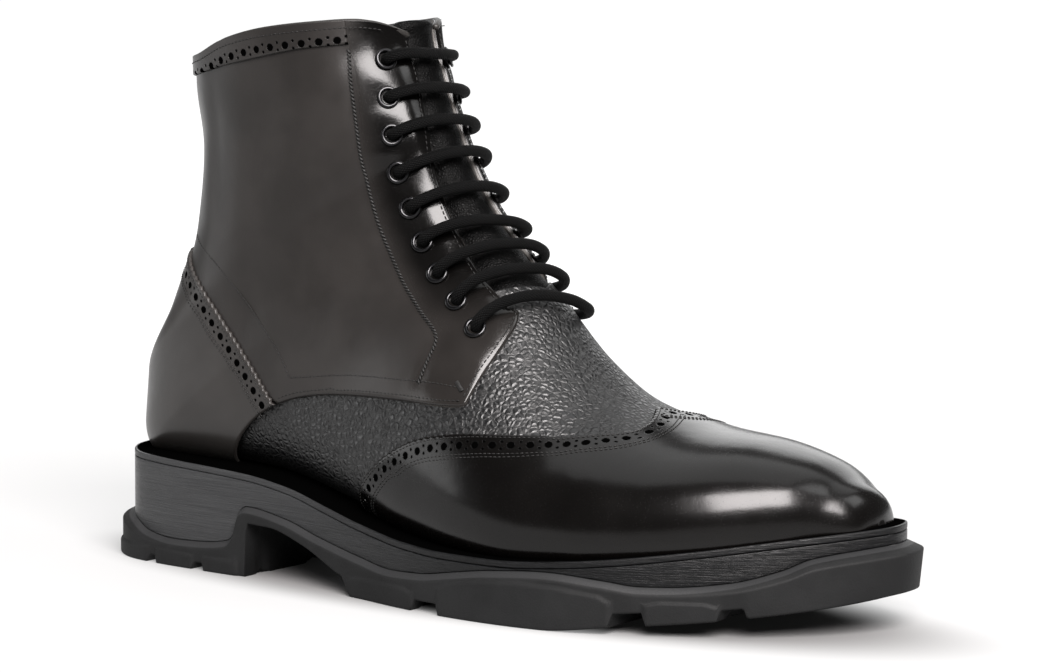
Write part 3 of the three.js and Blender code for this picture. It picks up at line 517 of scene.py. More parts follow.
def nearest(points, line):
    """For each point, how far along the line its nearest place lies, and how far off it is."""
    flat = points.reshape(-1, 3)
    lengths = run_of(line)
    along, off = np.empty(len(flat)), np.empty(len(flat))
    start, step = line[:-1], np.diff(line, axis=0)
    square = np.maximum((step * step).sum(axis=1), 1e-12)
    for first in range(0, len(flat), 4000):
        part = flat[first : first + 4000]
        share = ((part[:, None] - start[None]) * step[None]).sum(axis=2) / square
        share = np.clip(share, 0, 1)
        gap = np.linalg.norm(part[:, None] - (start + step * share[..., None]), axis=2)
        best = gap.argmin(axis=1)
        pick = np.arange(len(part))
        off[first : first + 4000] = gap[pick, best]
        along[first : first + 4000] = lengths[best] + share[pick, best] * np.sqrt(square[best])
    return along.reshape(points.shape[:-1]), off.reshape(points.shape[:-1])


# Meshes from grids of points
def make_piece(name, points, faces, uvs=None, ends=()):
    """A smooth mesh from points in millimetres, four-sided faces and, for a tube, its two ends."""
    mesh = bpy.data.meshes.new(name)
    mesh.from_pydata((points * MM).tolist(), [], faces.tolist() + list(ends))
    for map_name, values in (uvs or {}).items():
        layer = mesh.uv_layers.new(name=map_name)
        loops = np.empty(len(mesh.loops), np.int32)
        mesh.loops.foreach_get("vertex_index", loops)
        layer.data.foreach_set("uv", np.asarray(values, np.float32)[loops].ravel())
    mesh.validate()
    mesh.update()
    piece = bpy.data.objects.new(name, mesh)
    bpy.context.scene.collection.objects.link(piece)
    mesh.shade_smooth()
    return piece


def grid_faces(tall, wide, first=0, flip=False, wrap=False):
    columns = np.arange(wide if wrap else wide - 1)
    i, j = np.meshgrid(np.arange(tall - 1), columns, indexing="ij")
    k = (j + 1) % wide
    faces = np.stack([i * wide + j, i * wide + k, (i + 1) * wide + k, (i + 1) * wide + j], axis=-1)
    faces = faces.reshape(-1, 4) + first
    return faces[:, ::-1] if flip else faces


def closed_sheet(name, outer, inner, uvs, flip):
    """A thin solid from two grids of points, closed all round its edge."""
    tall, wide = outer.shape[:2]
    points = np.vstack([outer.reshape(-1, 3), inner.reshape(-1, 3)])
    second = tall * wide
    ring = list(range(wide)) + [i * wide + wide - 1 for i in range(1, tall)]
    ring += [(tall - 1) * wide + j for j in range(wide - 2, -1, -1)]
    ring += [i * wide for i in range(tall - 2, 0, -1)]
    ring = np.array(ring)
    after = np.roll(ring, -1)
    rim = np.stack([after, ring, ring + second, after + second], axis=1)
    if flip:
        rim = rim[:, ::-1]
    faces = np.vstack([grid_faces(tall, wide, 0, flip), grid_faces(tall, wide, second, not flip), rim])
    doubled = {key: np.vstack([v.reshape(-1, 2)] * 2) for key, v in uvs.items()}
    return make_piece(name, points, faces, doubled)


# How far the pole at the tip of the toe stands out, and the row halfway to it
POLE_REACH = 0.4
POLE_SWELL = 0.25


def leather_panel(name, uv, inside, outside, edges, trims=None, roll=0.8, shape=None, pole=False):
    """A panel of leather on the skin. edges are the lines that its rolled edge follows, and trims
    the lines that its stitches and punched holes are laid out along. A pole closes its first row."""
    if pole:
        uv = np.concatenate([uv[:1], uv[:1], uv])
    base = skin(uv[..., 0], uv[..., 1])
    normal = skin_normal(uv[..., 0], uv[..., 1])
    if pole:
        centre = (base[2, 0] + base[2, -1]) / 2 + (POLE_REACH, 0, 0)
        base[0] = centre
        base[1] = (base[2] + centre) / 2 + (POLE_SWELL, 0, 0)
        normal[0] = (1, 0, 0)
        normal[1] = unit(normal[2] + (1, 0, 0))
    off = np.full(base.shape[:2], 1e6)
    for edge in edges:
        off = np.minimum(off, nearest(base, edge)[1])
    inward = np.clip(off / roll, 0, 1)
    round_over = np.sqrt(np.clip(1 - (1 - inward) ** 2, 0, 1))
    rise = inside + (outside - inside) * (0.25 + 0.75 * round_over)
    if shape is not None:
        rise = rise + shape(base, off)
    outer = base + normal * rise[..., None]
    inner = base + normal * inside
    uvs = {"edge": np.stack([off, off], axis=-1) * 0.01}
    for key, line in (trims or {}).items():
        along, away = nearest(base, line)
        uvs[key] = np.stack([along, away], axis=-1) * 0.01
    i, j = (n // 2 for n in base.shape[:2])
    ahead = np.cross(base[i, j + 1] - base[i, j], base[i + 1, j] - base[i, j])
    flip = float(ahead @ normal[i, j]) < 0
    return closed_sheet(name, outer, inner, uvs, flip)


def points_on(uv, out=0.0):
    return skin_out(uv[:, 0], uv[:, 1], np.full(len(uv), out))


def place(piece, nodes, slot, *materials):
    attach(piece, "root")
    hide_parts(*nodes)
    for material in materials:
        piece.data.materials.append(material)
    return piece


def join_lines(*lines):
    """Lines end to end, each without its first point where the last one ends there."""
    return np.vstack([lines[0]] + [line[1:] for line in lines[1:]])


def straight(a, b, count=20):
    share = np.linspace(0, 1, count)[:, None]
    return np.asarray(a) * (1 - share) + np.asarray(b) * share


def length_on(uv):
    return lengths_of(uv)[-1]


def patch(bottom, top, left, right, step, fine=(True, True, True, True)):
    """A grid (u, v) between four lines. fine says which of left, right, bottom and top are rolled."""
    wide = max(length_on(bottom), length_on(top))
    tall = max(length_on(left), length_on(right))
    across = shares(wide, step, fine[0], fine[1])
    along = shares(tall, step, fine[2], fine[3])
    return coons(bottom, top, left, right, across, along)


# Lines that the panels share
HEEL_SEAM = {False: -0.25, True: 0.75}


def collar_end(inner):
    """The facing's edge from the collar down."""
    edge = throat_edge(inner)
    p = skin(edge[:, 0], edge[:, 1])
    below = p[:, 2] <= collar_column(p[:, 0])
    return edge[below]


def facing_front(inner):
    """Front edge of a quarter, from the collar down to the tip of its flap."""
    return join_lines(collar_end(inner), side_line(QUARTER_FRONT, inner))


def collar_line(inner):
    """The collar from the heel seam to the facing."""
    end = collar_end(inner)[0]
    v = np.linspace(HEEL_SEAM[inner], end[1], 90)
    uv = np.stack([meets_height(v, collar_column), v], axis=1)
    uv[-1] = end
    return uv


def seam_line(inner, from_u, to_u, count=60):
    u = np.linspace(from_u, to_u, count)
    return np.stack([u, np.full(count, HEEL_SEAM[inner])], axis=1)


def seam_at(height):
    """The section that crosses the heel seam at a height."""
    u = np.linspace(HEEL_U, LAST, 400)
    return float(np.interp(height, skin(u, np.full(400, -0.25))[:, 2], u))


# Quarters, with the facings that carry the eyelets
HIDDEN_QUARTER = rows("""
0.269 0.313
0.235 0.34
0.2   0.375
""")
HIDDEN_SEAM_HEIGHT = 103.0


def quarter_lines(inner):
    front = facing_front(inner)
    lower = side_line(QUARTER_LOWER, inner)
    hidden = side_line(HIDDEN_QUARTER, inner, 12)
    bottom = join_lines(hidden[::-1], lower[::-1])
    bottom[-1] = front[-1]
    seam_u = seam_at(HIDDEN_SEAM_HEIGHT)
    top = collar_line(inner)
    rise = straight(bottom[0], (seam_u, HEEL_SEAM[inner]))
    left = join_lines(rise, seam_line(inner, seam_u, top[0, 0]))
    return bottom, top, left, front[::-1]


ANKLE_FOLDS = rows("""
-98 150 -0.02 4.5 30 -0.55
-88 146 0.02  5   34 0.35
-104 140 0.0  4   28 0.3
-72 152 0     8   24 -0.25
-55 130 0.25  8   20 -0.3
-78 100 0.5   8   16 -0.3
""")
FOLD_WIDE = 7.5
FOLD_DROP = 1.1
DIMPLE_WIDE = 5.0
DIMPLE_DEEP = 0.45
ZIGZAG = rows("""
-44.3 182.2
-41   162
-36.8 138.5
-31.2 121.1
-21.2 105.5
-11.5 95.5
-2.2  87
-3    79.9
-4.4  72.4
""")


def ankle_folds(base):
    """Soft troughs and swells in the shaft, placed one by one: x, z, lean, width, height and depth of each.
    """
    total = np.zeros(base.shape[:2])
    for x, z, lean, wide, tall, deep in ANKLE_FOLDS:
        up = base[..., 2] - z
        across = base[..., 0] - x - lean * up
        total += deep * np.exp(-((across / wide) ** 2) - (up / tall) ** 2)
    return total


def make_quarter(inner):
    bottom, top, left, right = quarter_lines(inner)
    uv = patch(bottom, top, left, right, 1.8)
    front, lower = points_on(right), points_on(bottom)
    zigzag = points_on(side_uv(ZIGZAG, inner))
    eyes = [skin(u, v) for u, v in eyelet_spots(inner)]

    def shape(base, off):
        from_front = nearest(base, front)[1]
        fold = -FOLD_DROP * np.clip(1 - from_front / FOLD_WIDE, 0, 1) ** 2
        sewn = -0.3 * np.exp(-((nearest(base, zigzag)[1] / 1.5) ** 2))
        for eye in eyes:
            away = np.linalg.norm(base - eye, axis=-1)
            fold = fold - DIMPLE_DEEP * np.exp(-((away / DIMPLE_WIDE) ** 2))
        return fold + sewn + ankle_folds(base) * np.clip(off / 6, 0, 1)

    trims = {"front": front}
    side = "inner" if inner else "outer"
    return leather_panel("leather_quarter_" + side, uv, -1.0, QUARTER, [front, lower], trims, 0.9, shape)


# Vamp, from under the wing tip back to the counter and up to the foot of the throat
VAMP_BACK = rows("""
-108 36
-92  52
-75  66
-50  73
-20  74
3    75
7    84
8    92
5    101
""")
VAMP_TOP_HEIGHT = 103.5
VAMP_START = 1.0


def welt_meets(x, inner):
    """Where the welt's line passes x on one side, as (u, v)."""
    u = np.linspace(0, HEEL_U - 0.02, 600)
    line = skin(u, welt_line(u, inner))
    return welt_at(float(np.interp(-x, -line[:, 0], u)), inner)


def vamp_back(inner):
    line = side_uv(VAMP_BACK, inner)
    u = np.linspace(8, 12, 200)
    ridge = float(np.interp(VAMP_TOP_HEIGHT, skin(u, np.full(200, 0.25))[:, 2], u))
    peak = straight(line[-1], (ridge, 0.25), 24)
    line[0] = welt_meets(VAMP_BACK[0, 0], inner)
    return join_lines(line, peak)


def make_vamp():
    outer, inner = vamp_back(False), vamp_back(True)
    bottom = straight(welt_at(VAMP_START, False), welt_at(VAMP_START, True), 60)
    top = join_lines(outer, inner[::-1])
    left = welt_points(VAMP_START, outer[0, 0])
    right = welt_points(VAMP_START, inner[0, 0], True)
    uv = patch(bottom, top, left, right, 2.0, (False, False, False, True))
    return leather_panel("leather_vamp", uv, -2.1, 0.0, [points_on(top)], None, 0.8)


# Wing tip, over the front of the vamp
GIMP_PITCH = 2.6
GIMP_DEPTH = 0.45
GIMP_REACH = 3.0
GIMP_ROWS = 6


def wing_edge(inner):
    """From the welt forward along the side, then up to the peak on the instep."""
    side = side_line(WING_SIDE, inner, 60)
    plan = WING_TOP.copy()
    if inner:
        plan[:, 1] = 2 * WING_TOP[-1, 1] - plan[:, 1]
    points = np.stack([upper_x(plan[:, 0]), plan[:, 1] * UPPER_WIDTH], axis=1)
    turns = (0.25, 0.47) if inner else (0.03, 0.26)
    top = on_skin(smooth_line(points, 50), (0, 1), turns, (3.0, 10.0))
    side[0] = welt_meets(skin(*side[0])[0], inner)
    return np.vstack([side, top[1:]])


def gimped(uv):
    """A grid whose last rows are moved to and fro along its edge, like pinked leather."""
    edge = skin(uv[-1, :, 0], uv[-1, :, 1])
    along = run_of(edge)
    wave = np.abs(((along / GIMP_PITCH) % 1) * 2 - 1) * 2 - 1
    run = uv[-1] - uv[-2]
    size = np.linalg.norm(edge - skin(uv[-2, :, 0], uv[-2, :, 1]), axis=1)
    push = run / np.maximum(size, 1e-6)[:, None] * (wave * GIMP_DEPTH)[:, None]
    out = uv.copy()
    reach = np.linalg.norm(skin(uv[..., 0], uv[..., 1]) - edge[None], axis=-1)
    fade = np.clip(1 - reach / GIMP_REACH, 0, 1) ** 1.5
    fade[-1] = 1
    fade[:-GIMP_ROWS] = 0
    return out + push[None] * fade[..., None]


def make_wing():
    outer, inner = wing_edge(False), wing_edge(True)
    top = join_lines(outer, inner[::-1])
    bottom = straight(welt_at(0.0, False), welt_at(0.0, True), 40)
    left = welt_points(0.0, outer[0, 0])
    right = welt_points(0.0, inner[0, 0], True)
    across = np.linspace(0, 1, int(length_on(top) / (GIMP_PITCH / 4)))
    along = shares(length_on(left), 2.0, False, True)
    uv = coons(bottom, top, left, right, across, along)
    edge = points_on(top)
    wavy = gimped(uv)
    rim = [points_on(wavy[-1])]
    return leather_panel("leather_wing_tip", wavy, 0.02, CAP, rim, {"trim": edge}, roll=0.7, pole=True)


# Heel counter, over the rear of the quarters and the vamp
COUNTER_FRONT = rows("""
0.269  0.313
0.232  0.381
0.1955 0.44
0.153  0.508
0.1    0.572
""")
COUNTER_SEAM_HEIGHT = 112.5


def counter_edge(inner):
    """From the foremost tip of the counter back and up to the heel seam."""
    front = side_line(COUNTER_FRONT, inner, 30)
    return join_lines(front, straight(front[-1], (seam_at(COUNTER_SEAM_HEIGHT), HEEL_SEAM[inner]), 14))


def counter_foot(inner):
    """From the foremost tip of the counter down to the welt."""
    line = side_line(COUNTER_LOWER, inner, 16)
    line[-1] = welt_meets(skin(*line[-1])[0], inner)
    return line


def turned(uv):
    """A line of the inner side, with v running on past the heel seam from the outer side."""
    return np.stack([uv[:, 0], uv[:, 1] - 1], axis=1)


def heel_welt(from_u, inner):
    return welt_points(from_u, HEEL_U, inner, 50)


def make_counter():
    outer, inner = counter_edge(False), turned(counter_edge(True))
    top = join_lines(outer, inner[::-1])
    foot_outer, foot_inner = counter_foot(False), turned(counter_foot(True))
    start, end = foot_outer[-1], foot_inner[-1]
    bottom = join_lines(heel_welt(start[0], False), turned(heel_welt(end[0], True))[::-1])
    bottom[0], bottom[-1] = start, end
    left, right = foot_outer[::-1], foot_inner[::-1]
    across = np.linspace(0, 1, int(length_on(top) / (GIMP_PITCH / 4)))
    along = shares(length_on(seam_line(False, HEEL_U, 17)), 2.0, False, True)
    uv = gimped(coons(bottom, top, left, right, across, along))
    edge = points_on(top)
    edges = [points_on(uv[-1]), points_on(left), points_on(right)]
    return leather_panel("leather_heel_counter", uv, TRIM_FROM, TRIM_TO, edges, {"trim": edge}, 0.6)


# Band round the collar
def band_lines():
    lines = []
    for inner in (False, True):
        lower = side_line(BAND, inner, 60)
        seam_u = float(meets_height(np.array([HEEL_SEAM[inner]]), band_column)[0])
        lower = np.vstack([[seam_u, HEEL_SEAM[inner]], lower[6:]])
        v = np.linspace(HEEL_SEAM[inner], lower[-1, 1], 70)
        upper = np.stack([meets_height(v, collar_column), v], axis=1)
        lines.append((lower, upper))
    return lines


def make_band():
    (low_out, top_out), (low_in, top_in) = band_lines()
    bottom = join_lines(low_out[::-1], turned(low_in))
    top = join_lines(top_out[::-1], turned(top_in))
    left = straight(bottom[0], top[0], 14)
    right = straight(bottom[-1], top[-1], 14)
    across = shares(length_on(top), 1.6)
    along = shares(length_on(left), 1.2)
    uv = coons(bottom, top, left, right, across, along)
    edges = [points_on(bottom), points_on(left), points_on(right)]
    return leather_panel("leather_collar_band", uv, TRIM_FROM, TRIM_TO, edges, {"trim": points_on(top)}, 0.6)


# Lining of the shaft, from one facing round the heel to the other
def make_lining():
    lines = []
    for inner in (False, True):
        facing = collar_end(inner)[::-1]
        u = float(facing[0, 0])
        side = join_lines(straight(welt_at(u, inner), facing[0], 30), facing)
        welt = heel_welt(u, inner)
        top = collar_line(inner)
        lines.append([side, welt, top])
    for k in range(3):
        lines[1][k] = turned(lines[1][k])
    left, right = lines[0][0], lines[1][0]
    bottom = join_lines(lines[0][1], lines[1][1][::-1])
    top = join_lines(lines[0][2][::-1], lines[1][2])
    uv = patch(bottom, top, left, right, 3.0, (True, True, False, True))
    return leather_panel("lining_shaft", uv, -WALL, -1.02, [points_on(top)], None, 0.5)


# Round cords, for the piping of the collar and the laces
def tube(name, path, radius, sides):
    """A round tube along a path of points, closed at both ends."""
    tangent = unit(np.gradient(path, axis=0))
    side = np.cross(tangent[0], (0.0, 0.0, 1.0))
    side = unit(side if np.linalg.norm(side) > 0.1 else np.cross(tangent[0], (1.0, 0.0, 0.0)))
    frames = []
    for t in tangent:
        side = unit(side - t * float(side @ t))
        frames.append((side, np.cross(t, side)))
    angle = np.linspace(0, 2 * np.pi, sides, endpoint=False)
    rings = [
        p + radius * (np.cos(angle)[:, None] * a + np.sin(angle)[:, None] * b)
        for p, (a, b) in zip(path, frames)
    ]
    points = np.vstack(rings)
    faces = grid_faces(len(path), sides, wrap=True)
    uv = np.stack(np.meshgrid(run_of(path) * 0.01, np.arange(sides) / sides, indexing="ij"), axis=-1)
    last = (len(path) - 1) * sides
    ends = [list(range(sides))[::-1], list(range(last, last + sides))]
    return make_piece(name, points, faces, {"weave": uv.reshape(-1, 2)}, ends)


# Tongue, under the facings
TONGUE = rows("""
0.45 0.2
0.6  0.24
0.8  0.23
0.97 0.205
""")
TONGUE_TOP = 192.2
TONGUE_BULGE = ((120.0, 165.0, 190.0), (2.4, 3.2, 4.2))
TONGUE_ROUND = 14.5


def make_tongue():
    half = Column(TONGUE[:, 0], TONGUE[:, 1])
    first = TONGUE[0, 0] * BOOT_HEIGHT
    straight_top = TONGUE_TOP - TONGUE_ROUND
    z = np.linspace(first, straight_top, 56)
    angle = np.linspace(0, np.pi / 2, 14)[1:]
    z = np.concatenate([z, straight_top + TONGUE_ROUND * np.sin(angle) * 0.999])
    shrink = np.concatenate([np.zeros(56), TONGUE_ROUND * (1 - np.cos(angle)) * 0.98])
    reach = UPPER_WIDTH * half(z / BOOT_HEIGHT) - shrink
    across = np.linspace(-1, 1, 41)
    y = UPPER_WIDTH * throat_middle(z / BOOT_HEIGHT)[:, None] + reach[:, None] * across[None]
    zz = np.broadcast_to(z[:, None], y.shape)
    flat = on_skin(np.stack([y.ravel(), zz.ravel()], axis=1), (1, 2), (0.01, 0.49), (7.0, float(LAST)))
    uv = flat.reshape(*y.shape, 2)
    rim = np.vstack([points_on(uv[:, 0]), points_on(uv[-1]), points_on(uv[::-1, -1])])
    low = TONGUE_OUT - TONGUE_THICK
    middle = y.mean(axis=1, keepdims=True)
    room = UPPER_WIDTH * throat_half(zz / BOOT_HEIGHT) - 0.6
    bulge = np.interp(zz, *TONGUE_BULGE) * np.clip(1 - ((y - middle) / room) ** 2, 0, 1) ** 0.7

    def shape(base, off):
        rolled = 0.7 * np.exp(-(((off - 2.2) / 1.3) ** 2)) * (base[..., 2] > 176)
        return bulge + rolled

    return leather_panel("leather_tongue", uv, low, TONGUE_OUT, [rim], None, 0.9, shape)


# Plan of the sole. at: share of its length. outer, inner: shares of its width.
PLAN = rows("""
0.0116 0.136 0.173
0.05   0.257 0.285
0.11   0.313 0.341
0.186  0.336 0.355
0.269  0.346 0.341
0.352  0.369 0.332
0.435  0.416 0.346
0.502  0.463 0.383
0.575  0.495 0.435
0.648  0.5   0.481
0.714  0.477 0.5
0.781  0.421 0.491
0.847  0.336 0.463
0.907  0.229 0.409
0.957  0.098 0.332
0.987 -0.023 0.243
""")
HEEL_TIP_ACROSS = 0.023
TOE_TIP_ACROSS = 0.107
PLAN_SAMPLES = 900

# Side view of the rubber: its wavy top edge and its tread, as shares of the length and the heel's height
WAVE = rows("""
0     0.42
0.045 0.36
0.08  0.272
0.118 0.243
0.17  0.258
0.212 0.305
0.224 0.4
0.232 0.6
0.242 0.64
0.302 0.575
0.353 0.465
0.425 0.355
0.475 0.305
0.525 0.323
0.578 0.39
0.625 0.445
0.697 0.485
0.755 0.45
0.795 0.415
0.825 0.42
0.88  0.468
0.923 0.572
0.948 0.67
1     0.75
""")
TREAD = rows("""
-0.02  0
0.244  0
0.2455 0.49
0.28   0.483
0.33   0.38
0.388  0.19
0.405  0.14
0.418  0
0.69   0
0.767  0.066
0.854  0.14
0.935  0.235
1      0.35
1.02   0.44
""")
# Raised lugs on the side of the rubber. lug: its number. at, up: the line of its top.
LUGS = rows("""
0 0.004 0.13
0 0.09  0.15
1 0.103 0.15
1 0.163 0.13
2 0.179 0.13
2 0.232 0.14
3 0.4   0.15
3 0.43  0.185
3 0.505 0.185
3 0.521 0.15
4 0.558 0.23
4 0.576 0.3
4 0.613 0.35
4 0.665 0.385
4 0.71  0.37
4 0.755 0.325
4 0.767 0.27
5 0.8   0.27
5 0.815 0.3
5 0.857 0.3
5 0.87  0.27
""")
# Gaps between the lugs. from, to: shares of the length. deep: share of the deepest.
GROOVES = rows("""
0.09  0.103 0.6
0.163 0.179 0.6
0.521 0.558 0.85
0.767 0.8   1
0.87  0.893 0.8
""")
# How softly gaps and lugs begin and end, as shares of the length
GROOVE_SOFT = 0.0022
LUG_SOFT = 0.003
wave_column = Column(WAVE[:, 0], WAVE[:, 1])
tread_column = Column(TREAD[:, 0], TREAD[:, 1])


def plan_ring():
    outer = np.stack([sole_x(PLAN[:, 0]), -PLAN[:, 1] * SOLE_WIDTH], axis=1)
    inner = np.stack([sole_x(PLAN[:, 0]), PLAN[:, 2] * SOLE_WIDTH], axis=1)
    heel = (sole_x(0), HEEL_TIP_ACROSS * SOLE_WIDTH)
    toe = (sole_x(1), TOE_TIP_ACROSS * SOLE_WIDTH)
    return smooth_ring(np.vstack([heel, outer, toe, inner[::-1]]), PLAN_SAMPLES)


def ramp(value, low, high):
    t = np.clip((np.asarray(value, float) - low) / (high - low), 0, 1)
    return t * t * (3 - 2 * t)


PLAN_RING = plan_ring()
RING_OUT = unit(np.roll(PLAN_RING, -1, axis=0) - np.roll(PLAN_RING, 1, axis=0))
RING_OUT = np.stack([RING_OUT[:, 1], -RING_OUT[:, 0]], axis=1)
RING_RUN = run_of(PLAN_RING)


def rubber_reach(x):
    share = sole_share(x)
    heel = 1 - ramp(share, 0, 0.16)
    toe = ramp(share, 0.8, 1)
    return RIM_REACH + (HEEL_FLARE - RIM_REACH) * heel + (TOE_BUMPER - RIM_REACH) * toe


def toe_rake(x):
    return 0.2 * TOE_BUMPER * ramp(sole_share(x), 0.7, 1)


def wave_top(x):
    return HEEL_HEIGHT * wave_column(sole_share(x))


def between(share, start, end, soft):
    """1 from start to end, falling softly to 0 at both."""
    return ramp(share, start - soft, start + soft) * (1 - ramp(share, end - soft, end + soft))


def groove_depth(x):
    share = sole_share(x)
    depth = np.zeros(np.shape(x))
    for start, end, deep in GROOVES:
        depth = np.maximum(depth, deep * between(share, start, end, GROOVE_SOFT))
    return depth * GROOVE_DEPTH


def tread_bottom(x):
    return HEEL_HEIGHT * tread_column(sole_share(x))


def lug_rise(x, z):
    """How far the side of the rubber stands out at a place: 1 on the face of a lug."""
    share, up = sole_share(x), z / HEEL_HEIGHT
    rise = np.zeros(np.shape(x))
    for number in range(int(LUGS[:, 0].max()) + 1):
        lug = LUGS[LUGS[:, 0] == number]
        top = np.interp(share, lug[:, 1], lug[:, 2])
        inside = between(share, lug[0, 1], lug[-1, 1], LUG_SOFT)
        rise = np.maximum(rise, inside * (1 - ramp(up, top - 0.012, top + 0.012)))
    return rise


def ring_points(reach, height):
    """Points round the sole, moved out by reach and at a height, both a value for each."""
    plan = PLAN_RING + RING_OUT * np.broadcast_to(reach, len(PLAN_RING))[:, None]
    return np.column_stack([plan, np.broadcast_to(height, len(PLAN_RING))])


def ring_grid(levels):
    """Rings of points round the sole, each from a (reach, height) pair."""
    return np.stack([ring_points(reach, height) for reach, height in levels])


def ring_piece(name, grid):
    """A mesh of rings round the sole, from the top inwards round to the bottom."""
    fall = np.zeros(grid.shape[:2])
    fall[1:] = np.cumsum(np.linalg.norm(np.diff(grid, axis=0), axis=2), axis=0)
    run = np.broadcast_to(RING_RUN[None], fall.shape)
    uv = np.stack([run, fall], axis=-1).reshape(-1, 2) * 0.01
    faces = grid_faces(len(grid), PLAN_SAMPLES, wrap=True)
    return make_piece(name, grid.reshape(-1, 3), faces[:, ::-1], {"run": uv})


def rounded_levels(top, bottom, inset, round_over):
    """A band's section: in along its top, round its edges and down its side, then in along its bottom."""
    levels = [(-inset, top)]
    for share in (0, 0.35, 0.7, 1):
        angle = share * np.pi / 2
        levels.append((-round_over * (1 - np.sin(angle)), top - round_over * (1 - np.cos(angle))))
    tall = top - bottom - 2 * round_over
    for share in (0.2, 0.4, 0.6, 0.8):
        levels.append((0.0, top - round_over - tall * share))
    for share in (0, 0.35, 0.7, 1):
        angle = share * np.pi / 2
        levels.append((-round_over * (1 - np.cos(angle)), bottom + round_over * (1 - np.sin(angle))))
    levels.append((-inset, bottom))
    return levels


WELT_INSET = 18.0
WELT_ROUND = 0.5
MIDSOLE_INSET = 30.0
MIDSOLE_ROUND = 0.35
MIDSOLE_GAPS = (0.12, 0.1)


def make_welt():
    top = welt_top(PLAN_RING[:, 0])
    levels = rounded_levels(top, top - WELT_THICK, WELT_INSET, WELT_ROUND)
    return ring_piece("leather_welt", ring_grid(levels))


def make_midsole():
    x = PLAN_RING[:, 0]
    top = welt_top(x) - WELT_THICK - MIDSOLE_GAPS[0]
    bottom = wave_top(x) + MIDSOLE_GAPS[1]
    levels = rounded_levels(top, bottom, MIDSOLE_INSET, MIDSOLE_ROUND)
    return ring_piece("leather_midsole", ring_grid(levels))


WALL_LEVELS = 22
TREAD_ROWS = 26
BAR_PITCH = 11.0
BAR_SLANT = 0.35
BAR_DEEP = 1.8
TREAD_MIDDLE = 4.0
SOLE_ROUND = 0.7
RUBBER_INSET = 26.0
# y of the tread's middle line at shares of the length
SPINE = ((0.0, 0.3, 0.6, 1.0), (2.5, 0.0, 0.5, 9.0))


def tread_relief(x, y, depth):
    """Gaps of the tread, seen from below, between slanted bars and along the middle, inside the rim."""
    from_middle = np.abs(y - TREAD_MIDDLE)
    slant = (x + BAR_SLANT * from_middle) / BAR_PITCH
    bar = np.abs((slant % 1) - 0.5) * 2
    gaps = ramp(bar, 0.62, 0.78)
    split = 1 - ramp(from_middle, 1.4, 2.6)
    return np.maximum(gaps, split) * BAR_DEEP * ramp(depth, 5.5, 7.5)


def make_outsole():
    x = PLAN_RING[:, 0]
    top = wave_top(x)
    reach, rake = rubber_reach(x), toe_rake(x)
    foot = tread_bottom(x) + groove_depth(x)
    levels = [(-RUBBER_INSET, top), (-0.3, top)]
    chamfer = np.minimum(RIM_CHAMFER, 0.45 * (top - foot))
    for share in (0.08, 0.5, 0.92, 1.08):
        out = np.clip(share, 0, 1)
        levels.append((reach * out, top - chamfer * share))
    first = top - chamfer * 1.3
    for level in range(WALL_LEVELS):
        share = level / (WALL_LEVELS - 1)
        z = first + (foot + SOLE_ROUND - first) * share
        levels.append((reach - rake * share + LUG_RELIEF * lug_rise(x, z), z))
    rim = reach - rake + LUG_RELIEF * lug_rise(x, foot)
    for angle in (0.5, 1.0, np.pi / 2):
        levels.append((rim - SOLE_ROUND * (1 - np.cos(angle)), foot + SOLE_ROUND * (1 - np.sin(angle))))
    edge = ring_points(rim - SOLE_ROUND, foot)
    spine = np.column_stack([x, np.interp(x, sole_x(SPINE[0]), SPINE[1]), foot])
    rows_in = []
    for share in np.linspace(0, 1, TREAD_ROWS)[1:]:
        line = edge + (spine - edge) * share
        depth = np.linalg.norm(line - edge, axis=1)
        line[:, 2] = foot + tread_relief(line[:, 0], line[:, 1], depth)
        rows_in.append(line)
    return ring_piece("rubber_outsole", np.concatenate([ring_grid(levels), np.stack(rows_in)]))


# Stitches: one small bent thread, copied along each row and joined
THREAD_RINGS = 7
THREAD_SIDES = 7


def thread_template(length, radius):
    t = np.linspace(-1, 1, THREAD_RINGS)
    path = np.stack([t * length / 2, 0 * t, radius * (0.55 - 1.3 * t**4)], axis=1)
    size = radius * np.sqrt(np.clip(1 - np.abs(t) ** 5 * 0.75, 0.1, 1))
    angle = np.linspace(0, 2 * np.pi, THREAD_SIDES, endpoint=False)
    ring = np.stack([0 * angle, np.cos(angle), np.sin(angle)], axis=1)
    points = path[:, None] + ring[None] * size[:, None, None]
    faces = grid_faces(THREAD_RINGS, THREAD_SIDES, wrap=True)
    return points.reshape(-1, 3), faces


def stitch_row(line, normals, pitch, length, radius, lean, skip):
    """Points and faces of a row of stitches along a line."""
    run = run_of(line)
    count = max(1, int((run[-1] - 2 * skip) / pitch))
    at = skip + (np.arange(count) + 0.5) * (run[-1] - 2 * skip) / count
    place_at = columns_at(at, run, line)
    normal = unit(columns_at(at, run, normals))
    along = columns_at(at + 0.4, run, line) - columns_at(at - 0.4, run, line)
    along = unit(along - normal * (along * normal).sum(axis=1, keepdims=True))
    side = np.cross(normal, along)
    turned_along = unit(along + side * lean)
    turned_side = np.cross(normal, turned_along)
    template, faces = thread_template(length, radius)
    points = (
        place_at[:, None]
        + template[None, :, 0, None] * turned_along[:, None]
        + template[None, :, 1, None] * turned_side[:, None]
        + template[None, :, 2, None] * normal[:, None]
    )
    shift = (np.arange(count) * len(template))[:, None, None]
    return points.reshape(-1, 3), (faces[None] + shift).reshape(-1, 4)


def stitches(name, rows_of_stitches):
    points, faces, first = [], [], 0
    for row_points, row_faces in rows_of_stitches:
        points.append(row_points)
        faces.append(row_faces + first)
        first += len(row_points)
    return make_piece(name, np.vstack(points), np.vstack(faces))


